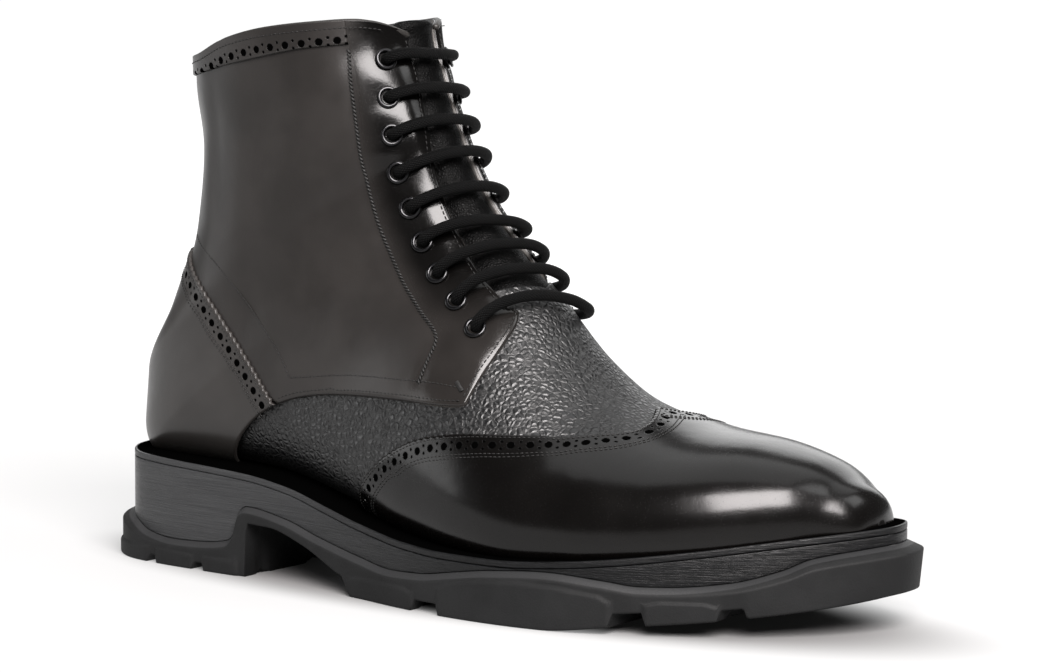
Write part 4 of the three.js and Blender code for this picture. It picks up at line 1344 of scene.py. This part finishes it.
def row_on(uv, out, pitch, length, radius, lean=0.0, skip=0.0):
    """A row of stitches along a line on the skin, from one stitch to the next a pitch apart."""
    uv = even(uv, np.linspace(0, 1, max(8, int(length_on(uv) / 1.2))))
    return stitch_row(points_on(uv, out), skin_normal(uv[:, 0], uv[:, 1]), pitch, length, radius, lean, skip)


INSET_STEP = 1.5
INSET_SMOOTH = 3


def inset_line(uv, amount, inner_side=1):
    """A line on the skin, moved sideways over the skin by an amount."""
    uv = even(uv, np.linspace(0, 1, max(12, int(length_on(uv) / INSET_STEP))))
    p = skin(uv[:, 0], uv[:, 1])
    normal = skin_normal(uv[:, 0], uv[:, 1])
    side = unit(np.cross(normal, np.gradient(p, axis=0))) * amount * inner_side
    step = 1e-3
    du = (skin(uv[:, 0] + step, uv[:, 1]) - p) / step
    dv = (skin(uv[:, 0], uv[:, 1] + step) - p) / step
    moved = []
    for s, a, b in zip(side, du, dv):
        move = np.linalg.lstsq(np.stack([a, b], axis=1), s, rcond=None)[0]
        moved.append(np.clip(move, (-1.0, -0.06), (1.0, 0.06)))
    padded = np.pad(np.array(moved), ((INSET_SMOOTH, INSET_SMOOTH), (0, 0)), mode="edge")
    window = np.ones(2 * INSET_SMOOTH + 1) / (2 * INSET_SMOOTH + 1)
    return uv + np.stack([np.convolve(padded[:, k], window, mode="valid") for k in range(2)], axis=1)


# Shader maths
class Value:
    """A socket of a material. Used in an expression it adds Math nodes."""

    def __init__(self, shader, socket):
        self.shader = shader
        self.socket = socket

    def math(self, operation, *others):
        settings = {"operation": operation}
        return self.shader.value("ShaderNodeMath", settings, [self, *others])

    def __add__(self, other):
        return self.math("ADD", other)

    def __radd__(self, other):
        return self.math("ADD", other)

    def __sub__(self, other):
        return self.math("SUBTRACT", other)

    def __rsub__(self, other):
        return self.math("MULTIPLY", -1.0).math("ADD", other)

    def __mul__(self, other):
        return self.math("MULTIPLY", other)

    def __rmul__(self, other):
        return self.math("MULTIPLY", other)

    def __truediv__(self, other):
        return self.math("DIVIDE", other)

    def __pow__(self, other):
        return self.math("POWER", other)

    def __mod__(self, other):
        return self.math("FLOORED_MODULO", other)

    def __abs__(self):
        return self.math("ABSOLUTE")

    def wave(self):
        return self.math("SINE")

    def most(self, other):
        return self.math("MAXIMUM", other)

    def ramp(self, low, high):
        """0 at low, 1 at high, smooth between."""
        settings = {"interpolation_type": "SMOOTHSTEP", "clamp": True}
        return self.shader.value("ShaderNodeMapRange", settings, [self, low, high, 0.0, 1.0])

    def between(self, low, high, soft):
        return self.ramp(low - soft, low + soft) * self.ramp(high + soft, high - soft)


# Painted shade: the matt dark colour put where holes and hidden recesses lie in shade
PAINTED_SHADE_BLACK = (0.0006, 0.0006, 0.0006, 1.0)


class Shader:
    """The nodes of one material."""

    def __init__(self, name, color, constants=None):
        self.material = bpy.data.materials.new(name)
        self.material.use_nodes = True
        self.material.diffuse_color = (*color, 1.0)
        self.tree = self.material.node_tree
        self.surface = self.tree.nodes["Principled BSDF"]
        self.surface.inputs["Base Color"].default_value = (*color, 1.0)
        for key, value in (constants or {}).items():
            self.surface.inputs[key].default_value = value

    def node(self, kind, settings=None, inputs=None):
        """Any node: its type, its settings, which are set first, and values or links for its sockets."""
        node = self.tree.nodes.new(kind)
        for key, value in (settings or {}).items():
            setattr(node, key, value)
        pairs = inputs.items() if isinstance(inputs, dict) else enumerate(inputs or [])
        for key, value in pairs:
            self.feed(node.inputs[key], value)
        return node

    def feed(self, socket, value):
        value = value.socket if isinstance(value, Value) else value
        if isinstance(value, bpy.types.NodeSocket):
            self.tree.links.new(value, socket)
        elif value is not None:
            socket.default_value = value

    def value(self, kind, settings=None, inputs=None, output=0):
        return Value(self, self.node(kind, settings, inputs).outputs[output])

    def place(self, scale=1000.0, stretch=(1.0, 1.0, 1.0)):
        """The object's own coordinates, in millimetres unless scaled otherwise."""
        source = self.node("ShaderNodeTexCoord").outputs["Object"]
        size = tuple(scale * part for part in stretch)
        return self.node("ShaderNodeVectorMath", {"operation": "MULTIPLY"}, [source, size]).outputs[0]

    def height(self):
        """Millimetres above the floor."""
        return self.value("ShaderNodeSeparateXYZ", None, [self.place()], 2)

    def map(self, name):
        """Both numbers of a UV map, in millimetres."""
        source = self.node("ShaderNodeUVMap", {"uv_map": name}).outputs[0]
        split = self.node("ShaderNodeSeparateXYZ", None, [source])
        return Value(self, split.outputs[0]) * 100.0, Value(self, split.outputs[1]) * 100.0

    def noise(self, vector, scale, detail=2.0, roughness=0.5):
        inputs = {"Vector": vector, "Scale": scale, "Detail": detail, "Roughness": roughness}
        return self.value("ShaderNodeTexNoise", None, inputs)

    def cells(self, vector, scale, feature="F1"):
        inputs = {"Vector": vector, "Scale": scale}
        return self.value("ShaderNodeTexVoronoi", {"feature": feature}, inputs, "Distance")

    def mix(self, share, first, second):
        """A colour between two colours."""
        settings = {"data_type": "RGBA"}
        first = (*first, 1.0) if isinstance(first, tuple) else first
        second = (*second, 1.0) if isinstance(second, tuple) else second
        node = self.node("ShaderNodeMix", settings, {0: share, 6: first, 7: second})
        return node.outputs[2]

    def finish(self, color=None, roughness=None, height=None, painted_shade=None):
        """Links the surface. painted_shade: where it is 1, the surface is matt and dark, painted shade
        standing in for the depth of punched holes or for shade in under another part.
        """
        self.feed(self.surface.inputs["Base Color"], color)
        self.feed(self.surface.inputs["Roughness"], roughness)
        if height is not None:
            inputs = {"Strength": 1.0, "Distance": MM, "Height": height}
            bump = self.node("ShaderNodeBump", None, inputs)
            self.feed(self.surface.inputs["Normal"], bump.outputs[0])
        if painted_shade is not None:
            matt = {"Base Color": PAINTED_SHADE_BLACK, "Roughness": 1.0, "Specular IOR Level": 0.0}
            shade_surface = self.node("ShaderNodeBsdfPrincipled", None, matt)
            both = {0: painted_shade, 1: self.surface.outputs[0], 2: shade_surface.outputs[0]}
            mixed = self.node("ShaderNodeMixShader", None, both)
            self.feed(self.tree.nodes["Material Output"].inputs["Surface"], mixed.outputs[0])
        return self.material


def dot_at(along, away, pitch, shift, middle, radius):
    """1 inside round holes in a row along a line, the first half a pitch from its start."""
    a = (along + shift) % pitch - pitch / 2
    b = away - middle
    far = (a * a + b * b) ** 0.5
    return far.ramp(radius + 0.16, radius - 0.16)


HOLE_PITCH = 6.0
BIG_HOLE = 1.25
SMALL_HOLE = 0.45
SMALL_HOLES_AT = (-1.25, 1.25)


def pierced(shader, name, middle):
    """The holes of a brogue band: big ones in a row, with two small ones between each pair."""
    along, away = shader.map(name)
    holes = dot_at(along, away, HOLE_PITCH, 0.0, middle, BIG_HOLE)
    for offset in SMALL_HOLES_AT:
        small = dot_at(along, away, HOLE_PITCH, HOLE_PITCH / 2, middle + offset, SMALL_HOLE)
        holes = holes.most(small)
    return holes


# The strip along the facing: how far from its front it fades, and the heights where it is painted darker, as
# painted shade
STRIP_FADE = (27.0, 15.0)
SHADE_HEIGHTS = (78.0, 112.0)
PALE_EDGE = (0.2, 0.185, 0.17)
WORN_EDGE = (0.12, 0.095, 0.08)


def scaled(color, share):
    return tuple(part * share for part in color)


def smooth_leather(name, color, rough, gloss, shine=0.28, trim=None, middle=4.1, gloss_and_shade=None):
    """Polished calf: fine pores, a soft mottled sheen and pale edges. trim: the map that its pierced
    holes follow, and middle their way from its line. gloss_and_shade: the map of a glossier band, painted
    darker higher up as painted shade."""
    constants = {"Specular IOR Level": shine, "Coat Roughness": 0.16, "Coat Weight": gloss}
    shader = Shader(name, color, constants)
    here = shader.place()
    mottle = shader.noise(here, 0.035, 3.0, 0.6)
    fine = shader.noise(here, 1.6, 3.0, 0.6)
    pores = shader.cells(here, 1.15).ramp(0.0, 0.28)
    creases = shader.cells(here, 0.55, "DISTANCE_TO_EDGE").ramp(0.0, 0.09)
    off = shader.map("edge")[0]
    rim = off.ramp(0.55, 0.05)
    height = fine * 0.01 + pores * 0.007 + creases * 0.005 + mottle * 0.3
    tone = shader.mix(mottle.ramp(0.35, 0.7), color, scaled(color, 1.35))
    tone = shader.mix(rim * 0.04 * fine.ramp(0.3, 0.6), tone, WORN_EDGE)
    roughness = rough + (mottle - 0.5) * 0.16 + (1.0 - pores) * 0.12 + rim * 0.15
    if gloss_and_shade:
        near_front = shader.map(gloss_and_shade)[1].ramp(*STRIP_FADE)
        strip = near_front * shader.height().ramp(*SHADE_HEIGHTS)
        roughness = roughness - near_front * 0.19
        # Painted shade: the strip by the facing's front is painted dark higher up the facing
        tone = shader.mix(strip * 0.95, tone, scaled(color, 0.08))
        tone = shader.mix(off.ramp(0.3, 0.05) * near_front * 0.3, tone, PALE_EDGE)
    holes = None
    if trim:
        holes = pierced(shader, trim, middle)
        height = height - holes * 1.1
    # Painted shade: the punched holes are painted matt and dark in place of their depth
    return shader.finish(tone, roughness, height, painted_shade=holes)


def pebbled_leather(name, color, rough, grain, deep, gloss):
    """Grained leather: rounded pebbles of mixed size between fine creases, glossier on their tops, with
    painted shade in the creases and a painted highlight on the tops.
    """
    shader = Shader(name, color, {"Specular IOR Level": gloss})
    here = shader.place()
    drift = shader.node("ShaderNodeTexNoise", None, {"Vector": here, "Scale": 0.28, "Detail": 2.0})
    settings = {"operation": "MULTIPLY_ADD"}
    bend = [drift.outputs[1], (1.4, 1.4, 1.4), here]
    warped = shader.node("ShaderNodeVectorMath", settings, bend).outputs[0]
    edges = shader.cells(warped, grain, "DISTANCE_TO_EDGE")
    dome = edges.ramp(-0.12, 0.42)
    small = shader.noise(warped, grain * 1.9, 1.0)
    fine = shader.noise(here, 2.2, 3.0, 0.6)
    patches = shader.noise(here, 0.03, 2.0)
    height = dome * deep + small * 0.05 + fine * 0.01 + patches * 0.3
    # Painted shade and highlight: darker down in the creases, lighter on the pebbles' tops
    tone = shader.mix(dome, scaled(color, 0.35), scaled(color, 1.25))
    roughness = rough + (1.0 - dome) * 0.25 + (fine - 0.5) * 0.12
    return shader.finish(tone, roughness, height)


def lining_leather(name, rough):
    shader = Shader(name, (0.012, 0.011, 0.01), {"Specular IOR Level": 0.35})
    here = shader.place()
    fibre = shader.noise(here, 0.9, 4.0, 0.65)
    pores = shader.cells(here, 0.9).ramp(0.0, 0.3)
    tone = shader.mix(fibre, (0.006, 0.0055, 0.005), (0.02, 0.018, 0.016))
    return shader.finish(tone, rough + fibre * 0.2, fibre * 0.08 + pores * 0.04)


# Painted light and shade: paler at the heel, where the left light falls, and darker towards the front, as x
PAINTED_LIGHT_FADE = (-95.0, 25.0)


def stacked_leather(name, sheen, painted_shade_to=None):
    """Burnished edge of stacked leather: fine strata along the sole, wax and small scratches.
    painted_shade_to: how far out its top is painted matt and dark, as painted shade in under the upper."""
    shader = Shader(name, (0.03, 0.032, 0.035), {"Specular IOR Level": 0.22})
    run, fall = shader.map("run")
    here = shader.place(1000.0, (0.03, 0.03, 2.4))
    strata = shader.noise(here, 0.9, 4.0, 0.7)
    streak = shader.noise(shader.place(1000.0, (0.12, 0.12, 3.6)), 0.7, 3.0, 0.6)
    dots = shader.noise(shader.place(), 0.8, 2.0)
    height = strata * 0.22 + streak * 0.12 + dots * 0.03
    tone = shader.mix(strata.ramp(0.35, 0.65), (0.0008, 0.0009, 0.001), (0.0034, 0.0036, 0.004))
    tone = shader.mix(streak.ramp(0.5, 0.75) * 0.4, tone, (0.009, 0.0095, 0.0105))
    # Painted light and shade: the tone runs from paler at the heel to darker at the front
    front = shader.value("ShaderNodeSeparateXYZ", None, [shader.place()]).ramp(*PAINTED_LIGHT_FADE)
    pale = shader.mix(strata.ramp(0.3, 0.7), (0.016, 0.0165, 0.0175), (0.03, 0.031, 0.032))
    tone = shader.mix(front, pale, tone)
    roughness = sheen + streak * 0.22 + dots * 0.08
    # Painted shade: the top, in under the upper, is painted matt and dark
    painted_shade = fall.ramp(painted_shade_to + 0.5, painted_shade_to) if painted_shade_to else None
    return shader.finish(tone, roughness, height, painted_shade=painted_shade)


# Where the chamfer of the rim lies, in millimetres down round the rubber. It is painted lighter there, a
# painted highlight.
BEVEL_FROM = 25.9
BEVEL_TO = 28.4


def black_rubber():
    shader = Shader("moulded_rubber", (0.01, 0.0105, 0.011), {"Specular IOR Level": 0.25})
    here = shader.place()
    grain = shader.noise(here, 1.5, 4.0, 0.7)
    clouds = shader.noise(here, 0.05, 3.0, 0.6)
    tone = shader.mix(clouds.ramp(0.3, 0.7), (0.0022, 0.0024, 0.0026), (0.005, 0.0053, 0.0056))
    tone = shader.mix(grain.ramp(0.62, 0.8) * 0.3, tone, (0.016, 0.016, 0.016))
    bevel = shader.map("run")[1].between(BEVEL_FROM, BEVEL_TO, 0.3)
    # Painted highlight: the chamfer along the rubber's top is painted lighter
    tone = shader.mix(bevel * 0.6, tone, (0.022, 0.0225, 0.0235))
    return shader.finish(tone, 0.6 + grain * 0.22 - bevel * 0.12, grain * 0.09)


def thread(name, color):
    """Waxed twisted thread."""
    shader = Shader(name, color, {"Specular IOR Level": 0.3})
    here = shader.place()
    twist = shader.noise(here, 3.2, 2.0)
    tone = shader.mix(twist, scaled(color, 0.6), scaled(color, 1.5))
    return shader.finish(tone, 0.42 + twist * 0.2, twist * 0.12)


LACE_TWIST = 2.6
LACE_STRANDS = 6.0


def woven_lace():
    """Round braided cord: two sets of strands that cross over and under each other."""
    shader = Shader("woven_lace", (0.003, 0.003, 0.003), {"Specular IOR Level": 0.09})
    along, around = shader.map("weave")
    along = along * LACE_TWIST
    around = around * 0.01 * 2 * math.pi * LACE_STRANDS
    one = (along + around).wave()
    two = (along - around).wave()
    weave = abs(one * two)
    fuzz = shader.noise(shader.place(), 4.5, 2.0)
    # Painted shade: darker in the gaps between the strands, lighter on their tops
    tone = shader.mix(weave.ramp(0.05, 0.75), (0.0001, 0.0001, 0.0001), (0.002, 0.0021, 0.0022))
    return shader.finish(tone, 0.66 + fuzz * 0.15, weave * 0.34 + fuzz * 0.08)


def eyelet_metal():
    shader = Shader("lacquered_metal", (0.05, 0.05, 0.052), {"Metallic": 1.0, "Coat Weight": 0.4})
    scratch = shader.noise(shader.place(1000.0, (1.0, 1.0, 3.0)), 1.6, 3.0, 0.7)
    tone = shader.mix(scratch.ramp(0.55, 0.8), (0.012, 0.012, 0.013), (0.05, 0.05, 0.052))
    return shader.finish(tone, 0.24 + scratch * 0.18, scratch * 0.02)


# Eyelets: one ring and barrel, copied to each spot on the facings
def select_only(piece):
    bpy.ops.object.select_all(action="DESELECT")
    piece.select_set(True)
    bpy.context.view_layer.objects.active = piece


BARREL_LONG = 3.4
BARREL_WALL = 0.35
RING_FLAT = 0.72
EYELET_OUT = 0.45


def eyelet_template():
    bpy.ops.mesh.primitive_torus_add(
        major_segments=40,
        minor_segments=16,
        major_radius=(EYELET_FLANGE + EYELET_HOLE) / 2 * MM,
        minor_radius=(EYELET_FLANGE - EYELET_HOLE) / 2 * MM,
    )
    ring = bpy.context.object
    select_only(ring)
    bpy.ops.object.mode_set(mode="EDIT")
    bpy.ops.mesh.select_all(action="SELECT")
    bpy.ops.transform.resize(value=(1.0, 1.0, RING_FLAT))
    bpy.ops.object.mode_set(mode="OBJECT")
    bpy.ops.mesh.primitive_cylinder_add(
        vertices=40,
        radius=(EYELET_HOLE + 0.05) * MM,
        depth=BARREL_LONG * MM,
        end_fill_type="NOTHING",
        location=(0, 0, -1.6 * MM),
    )
    barrel = bpy.context.object
    select_only(barrel)
    bpy.ops.object.transform_apply(location=True, rotation=True, scale=True)
    solid = barrel.modifiers.new("wall", "SOLIDIFY")
    solid.thickness = BARREL_WALL * MM
    solid.offset = 1.0
    bpy.ops.object.modifier_apply(modifier=solid.name)
    ring.select_set(True)
    bpy.context.view_layer.objects.active = ring
    bpy.ops.object.join()
    bpy.ops.object.shade_smooth_by_angle(angle=math.radians(50))
    ring.name = "eyelet_template"
    return ring


def eyelet_spots(inner):
    """(u, v) of each eyelet, an even step apart along the facing."""
    line = smooth_line(side_view(EYELET_LINE), 400)
    points = columns_at(np.arange(EYELETS) * EYELET_SPACING, run_of(line), line)
    turns = (0.251, 0.47) if inner else (0.03, 0.249)
    return on_skin(points, (0, 2), turns, (8.0, float(LAST)))


def make_eyelets(template, spots, name):
    """Copies of the template on the facings, joined into one piece."""
    copies = []
    for u, v in spots:
        normal = Vector(skin_normal(u, v))
        turn = normal.to_track_quat("Z", "Y").to_matrix().to_4x4()
        copy = template.copy()
        copy.data = template.data.copy()
        bpy.context.scene.collection.objects.link(copy)
        spot = Vector(skin_out(u, v, QUARTER + EYELET_OUT)) * MM
        copy.data.transform(Matrix.Translation(spot) @ turn)
        copies.append(copy)
    bpy.ops.object.select_all(action="DESELECT")
    for copy in copies:
        copy.select_set(True)
    bpy.context.view_layer.objects.active = copies[0]
    bpy.ops.object.join()
    copies[0].name = name
    copies[0].data.name = name
    return copies[0]


# Laces: each bar comes up through an eyelet, arches over both facings and dives into the other
# share: of the way across. out: middle of the lace above the skin.
LACE_PATH = rows("""
0    -1.8
0.004 1.4
0.02  3.7
0.07  5.2
0.16  5.7
0.3   5.0
0.5   4.4
0.68  4.3
0.82  4.2
0.92  4.0
0.975 3.2
0.995 1.2
1    -1.8
""")
# How far the top bar and the lowest bar sag, as shares of a section
LACE_DIPS = (0.1, 0.75)


def lace_path(start, end, dip):
    """The middle line of one bar, which sags towards the toe past its middle."""
    points = []
    for share, out in LACE_PATH:
        u = start[0] + (end[0] - start[0]) * share - 6.75 * share**2 * (1 - share) * dip
        points.append(skin_out(u, start[1] + (end[1] - start[1]) * share, out))
    return smooth_line(points, 90)


def make_laces(outer_spots, inner_spots, material):
    for i, (start, end) in enumerate(zip(outer_spots, inner_spots)):
        dip = LACE_DIPS[0] + (LACE_DIPS[1] - LACE_DIPS[0]) * i / (EYELETS - 1)
        piece = tube(f"lace_{i + 1}", lace_path(start, end, dip), LACE_RADIUS, 20)
        place(piece, [f"lace_bar_{i + 1}"], "lace", material)


# Materials
WARM_BLACK = (0.0118, 0.0106, 0.0099)
# Painted light: the counter's copy of the quarters' warm colour, made lighter where the heel catches the left
# light
LIT_HEEL_BLACK = (0.0175, 0.0161, 0.0151)
WING_BLACK = (0.0013, 0.0011, 0.001)
VAMP_BLACK = (0.0026, 0.0027, 0.0029)
TONGUE_BLACK = (0.0005, 0.0005, 0.0005)
quarter_leather = smooth_leather("satin_leather", WARM_BLACK, 0.34, gloss=0.0, gloss_and_shade="front")
wing_leather = smooth_leather("polished_leather", WING_BLACK, 0.22, gloss=0.14, shine=0.22, trim="trim")
counter_leather = smooth_leather("counter_leather", LIT_HEEL_BLACK, 0.33, gloss=0.05, trim="trim")
band_leather = smooth_leather("band_leather", WARM_BLACK, 0.34, gloss=0.05, trim="trim", middle=6.6)
piping_leather = lining_leather("piping_leather", 0.35)
vamp_leather = pebbled_leather("pebbled_leather", VAMP_BLACK, 0.29, grain=0.5, deep=0.27, gloss=0.5)
tongue_leather = pebbled_leather("tongue_leather", TONGUE_BLACK, 0.34, grain=1.1, deep=0.12, gloss=0.06)
lining = lining_leather("lining_leather", 0.6)
burnished = stacked_leather("burnished_leather", 0.2)
welt_leather = stacked_leather("welt_leather", 0.26, WELT_INSET - 1.0)
rubber = black_rubber()
waxed = thread("waxed_thread", (0.007, 0.0068, 0.0066))
lace_material = woven_lace()
metal = eyelet_metal()

# Pieces
SIDES = {"outer": False, "inner": True}
place(make_lining(), ["upper"], "lining", lining)
place(make_vamp(), ["upper"], "pebbled_leather", vamp_leather)
for side, inner in SIDES.items():
    place(make_quarter(inner), ["quarter_" + side], "smooth_leather", quarter_leather)
place(make_wing(), ["wing_tip"], "smooth_leather", wing_leather)
place(make_counter(), ["heel_counter"], "smooth_leather", counter_leather)
place(make_band(), ["collar_band"], "smooth_leather", band_leather)
place(make_tongue(), ["tongue"], "pebbled_leather", tongue_leather)
place(make_welt(), ["welt"], "stacked_leather", welt_leather)
place(make_midsole(), ["midsole"], "stacked_leather", burnished)
place(make_outsole(), ["outsole"], "rubber", rubber)

template = eyelet_template()
spots = {side: eyelet_spots(inner) for side, inner in SIDES.items()}
for side in SIDES:
    piece = make_eyelets(template, spots[side], "eyelets_" + side)
    place(piece, [f"eyelet_{side}_{i + 1}" for i in range(EYELETS)], "eyelet_metal", metal)
bpy.data.objects.remove(template)
make_laces(spots["outer"], spots["inner"], lace_material)

# The insole keeps its solid
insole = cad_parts["insole"]
insole.data.materials.clear()
insole.data.materials.append(lining)


# Rows of stitches
THIN_ROW = rows("""
-112.8 115.8
-98.1  107.6
-85.8  97.6
-75.8  87.2
-67    77.5
-62.1  70
""")
LOWER_ROW = rows("""
-62.1 70
-37.2 72.7
-12.4 73.1
2.6   72.9
12.6  72
""")
BAR_TACK = rows("""
10.3 73.8
13.4 71
""")
PIPING_RADIUS = 1.25
PIPING_OUT = 0.35
PIPING_DROP = 0.55
# How far the rows of stitches lie from a pinked edge, and the collar's row from its top
TRIM_ROWS = (1.35, 7.3, 8.5)
COLLAR_ROW = 2.4


def quarter_stitches(inner):
    way = 1 if inner else -1
    twisted = side_uv(ZIGZAG, inner)
    found = [row_on(twisted, QUARTER - 0.12, pitch=1.35, length=2.1, radius=0.36, lean=0.75)]
    for table in (THIN_ROW, LOWER_ROW):
        found.append(row_on(side_uv(table, inner), QUARTER + 0.02, pitch=1.7, length=1.3, radius=0.17))
    front = inset_line(facing_front(inner), 2.0, way)
    found.append(row_on(front, QUARTER - 0.5, pitch=1.9, length=1.45, radius=0.2, skip=2.0))
    tack = side_uv(BAR_TACK, inner)
    found.append(row_on(tack, QUARTER, pitch=0.42, length=1.7, radius=0.26, lean=9.0))
    lower = inset_line(side_line(QUARTER_LOWER, inner), 1.9, way)
    found.append(row_on(lower, QUARTER - 0.02, pitch=1.7, length=1.3, radius=0.18, skip=2.0))
    return found


def trim_stitches(edge, outside, way):
    """The rows beside a pinked edge, on both sides of its holes."""
    lines = [inset_line(edge, amount, way) for amount in TRIM_ROWS]
    return [row_on(line, outside + 0.02, pitch=1.6, length=1.2, radius=0.17) for line in lines]


for side, inner in SIDES.items():
    piece = stitches("stitches_quarter_" + side, quarter_stitches(inner))
    place(piece, ["quarter_" + side], "smooth_leather", waxed)
wing_rows = trim_stitches(wing_edge(False), CAP, -1)
wing_rows += trim_stitches(wing_edge(True), CAP, 1)
place(stitches("stitches_wing_tip", wing_rows), ["wing_tip"], "smooth_leather", waxed)
counter_rows = trim_stitches(counter_edge(False), TRIM_TO, 1)
counter_rows += trim_stitches(counter_edge(True), TRIM_TO, -1)
place(stitches("stitches_heel_counter", counter_rows), ["heel_counter"], "smooth_leather", waxed)

collar_top = join_lines(collar_line(False)[::-1], turned(collar_line(True)))
collar_path = resample(points_on(collar_top, PIPING_OUT), 260) - (0.0, 0.0, PIPING_DROP)
piping = tube("collar_piping", collar_path, PIPING_RADIUS, 14)
place(piping, ["collar_band"], "smooth_leather", piping_leather)
under = inset_line(collar_top, COLLAR_ROW)
under = [row_on(under, TRIM_TO + 0.02, pitch=1.7, length=1.3, radius=0.17, skip=12.0)]
place(stitches("stitches_collar", under), ["collar_band"], "smooth_leather", waxed)


# Floor and light: a soft box over the camera's right shoulder, one overhead, and painted light in the floor's
# glow, brightest behind
FLOOR_PAINT = (0.17, 0.17, 0.17)
FRONT_GLOW = (0.14, 0.14, 0.14)
NEAR_GLOW = (0.58, 0.58, 0.58)
FRONT_FADE = (-0.42, -0.16)
BACK_GLOW = (1.0, 1.0, 1.0)
SWEEP_FADE = (0.05, 1.1)
# The way that leads from the camera over the floor, for how far back a place is
BEHIND = (-0.57, 0.82)
# The painted shadow under the sole: half its length and width in metres, its middle, its fade and its glow
SHADE_LONG = 0.132
SHADE_WIDE = 0.044
SHADE_AT = 0.01
SHADE_FADE = (1.5, 0.95)
SHADE_GLOW = (0.004, 0.004, 0.004)
# What the lights point at, and the strength of the light from all round
MIDDLE = (0.0, 0.0, 0.08)
ROUND_LIGHT = 0.1


def make_floor():
    """A wide pale floor, which runs on past the horizon of the picture. Its glow is painted light, dim in
    front and brighter towards its back, with a painted shadow under the sole.
    """
    bpy.ops.mesh.primitive_circle_add(vertices=64, radius=30.0, fill_type="NGON")
    floor = bpy.context.object
    floor.name = "floor"
    shader = Shader("floor_paint", FLOOR_PAINT, {"Roughness": 0.9, "Specular IOR Level": 0.1})
    split = shader.node("ShaderNodeSeparateXYZ", None, [shader.place(1.0)])
    x, y = Value(shader, split.outputs[0]), Value(shader, split.outputs[1])
    behind = y * BEHIND[1] + x * BEHIND[0]
    # Painted light: the glow rises from the front of the floor to its back
    glow = shader.mix(behind.ramp(*FRONT_FADE), FRONT_GLOW, NEAR_GLOW)
    glow = shader.mix(behind.ramp(*SWEEP_FADE), glow, BACK_GLOW)
    # Painted shadow: the glow fades out in an oval under the sole
    long = (x - SHADE_AT) / SHADE_LONG
    wide = y / SHADE_WIDE
    under = ((long * long + wide * wide) ** 0.5).ramp(*SHADE_FADE)
    glow = shader.mix(under, glow, SHADE_GLOW)
    shader.feed(shader.surface.inputs["Emission Color"], glow)
    shader.surface.inputs["Emission Strength"].default_value = 1.0
    floor.data.materials.append(shader.finish())


WHITE = (1.0, 1.0, 1.0)
# Heading and height in degrees, distance and size in metres, power in watts, colour
LIGHTS = (
    ("key_light", -42, 38, 2.6, (1.75, 1.45), 240.0, (1.0, 0.955, 0.945)),
    ("top_light", 110, 78, 2.2, (2.6, 2.2), 26.0, WHITE),
    ("left_light", -150, 14, 2.5, (1.2, 1.1), 13.0, WHITE),
    ("right_light", 22, 42, 2.5, (1.2, 1.0), 15.0, WHITE),
    ("back_light", 118, 22, 4.0, (4.0, 2.0), 48.0, WHITE),
)


def soft_light(name, turn, rise, distance, size, power, color):
    """A soft box that faces the boot from a heading and a height in degrees; its size is wide, tall."""
    data = bpy.data.lights.new(name, "AREA")
    data.shape = "RECTANGLE"
    data.size, data.size_y = size
    data.energy = power
    data.color = color
    lamp = bpy.data.objects.new(name, data)
    bpy.context.scene.collection.objects.link(lamp)
    turn, rise = math.radians(turn), math.radians(rise)
    out = Vector((math.cos(turn) * math.cos(rise), math.sin(turn) * math.cos(rise), math.sin(rise)))
    lamp.location = Vector(MIDDLE) + out * distance
    lamp.rotation_euler = (-out).to_track_quat("-Z", "Y").to_euler()


def light_stage():
    world = bpy.data.worlds.new("studio")
    bpy.context.scene.world = world
    world.use_nodes = True
    background = world.node_tree.nodes["Background"]
    background.inputs["Color"].default_value = (1.0, 1.0, 1.0, 1.0)
    background.inputs["Strength"].default_value = ROUND_LIGHT
    for name, turn, rise, distance, size, power, color in LIGHTS:
        soft_light(name, turn, rise, distance, size, power, color)
    bpy.context.scene.view_settings.view_transform = "Standard"


make_floor()
light_stage()
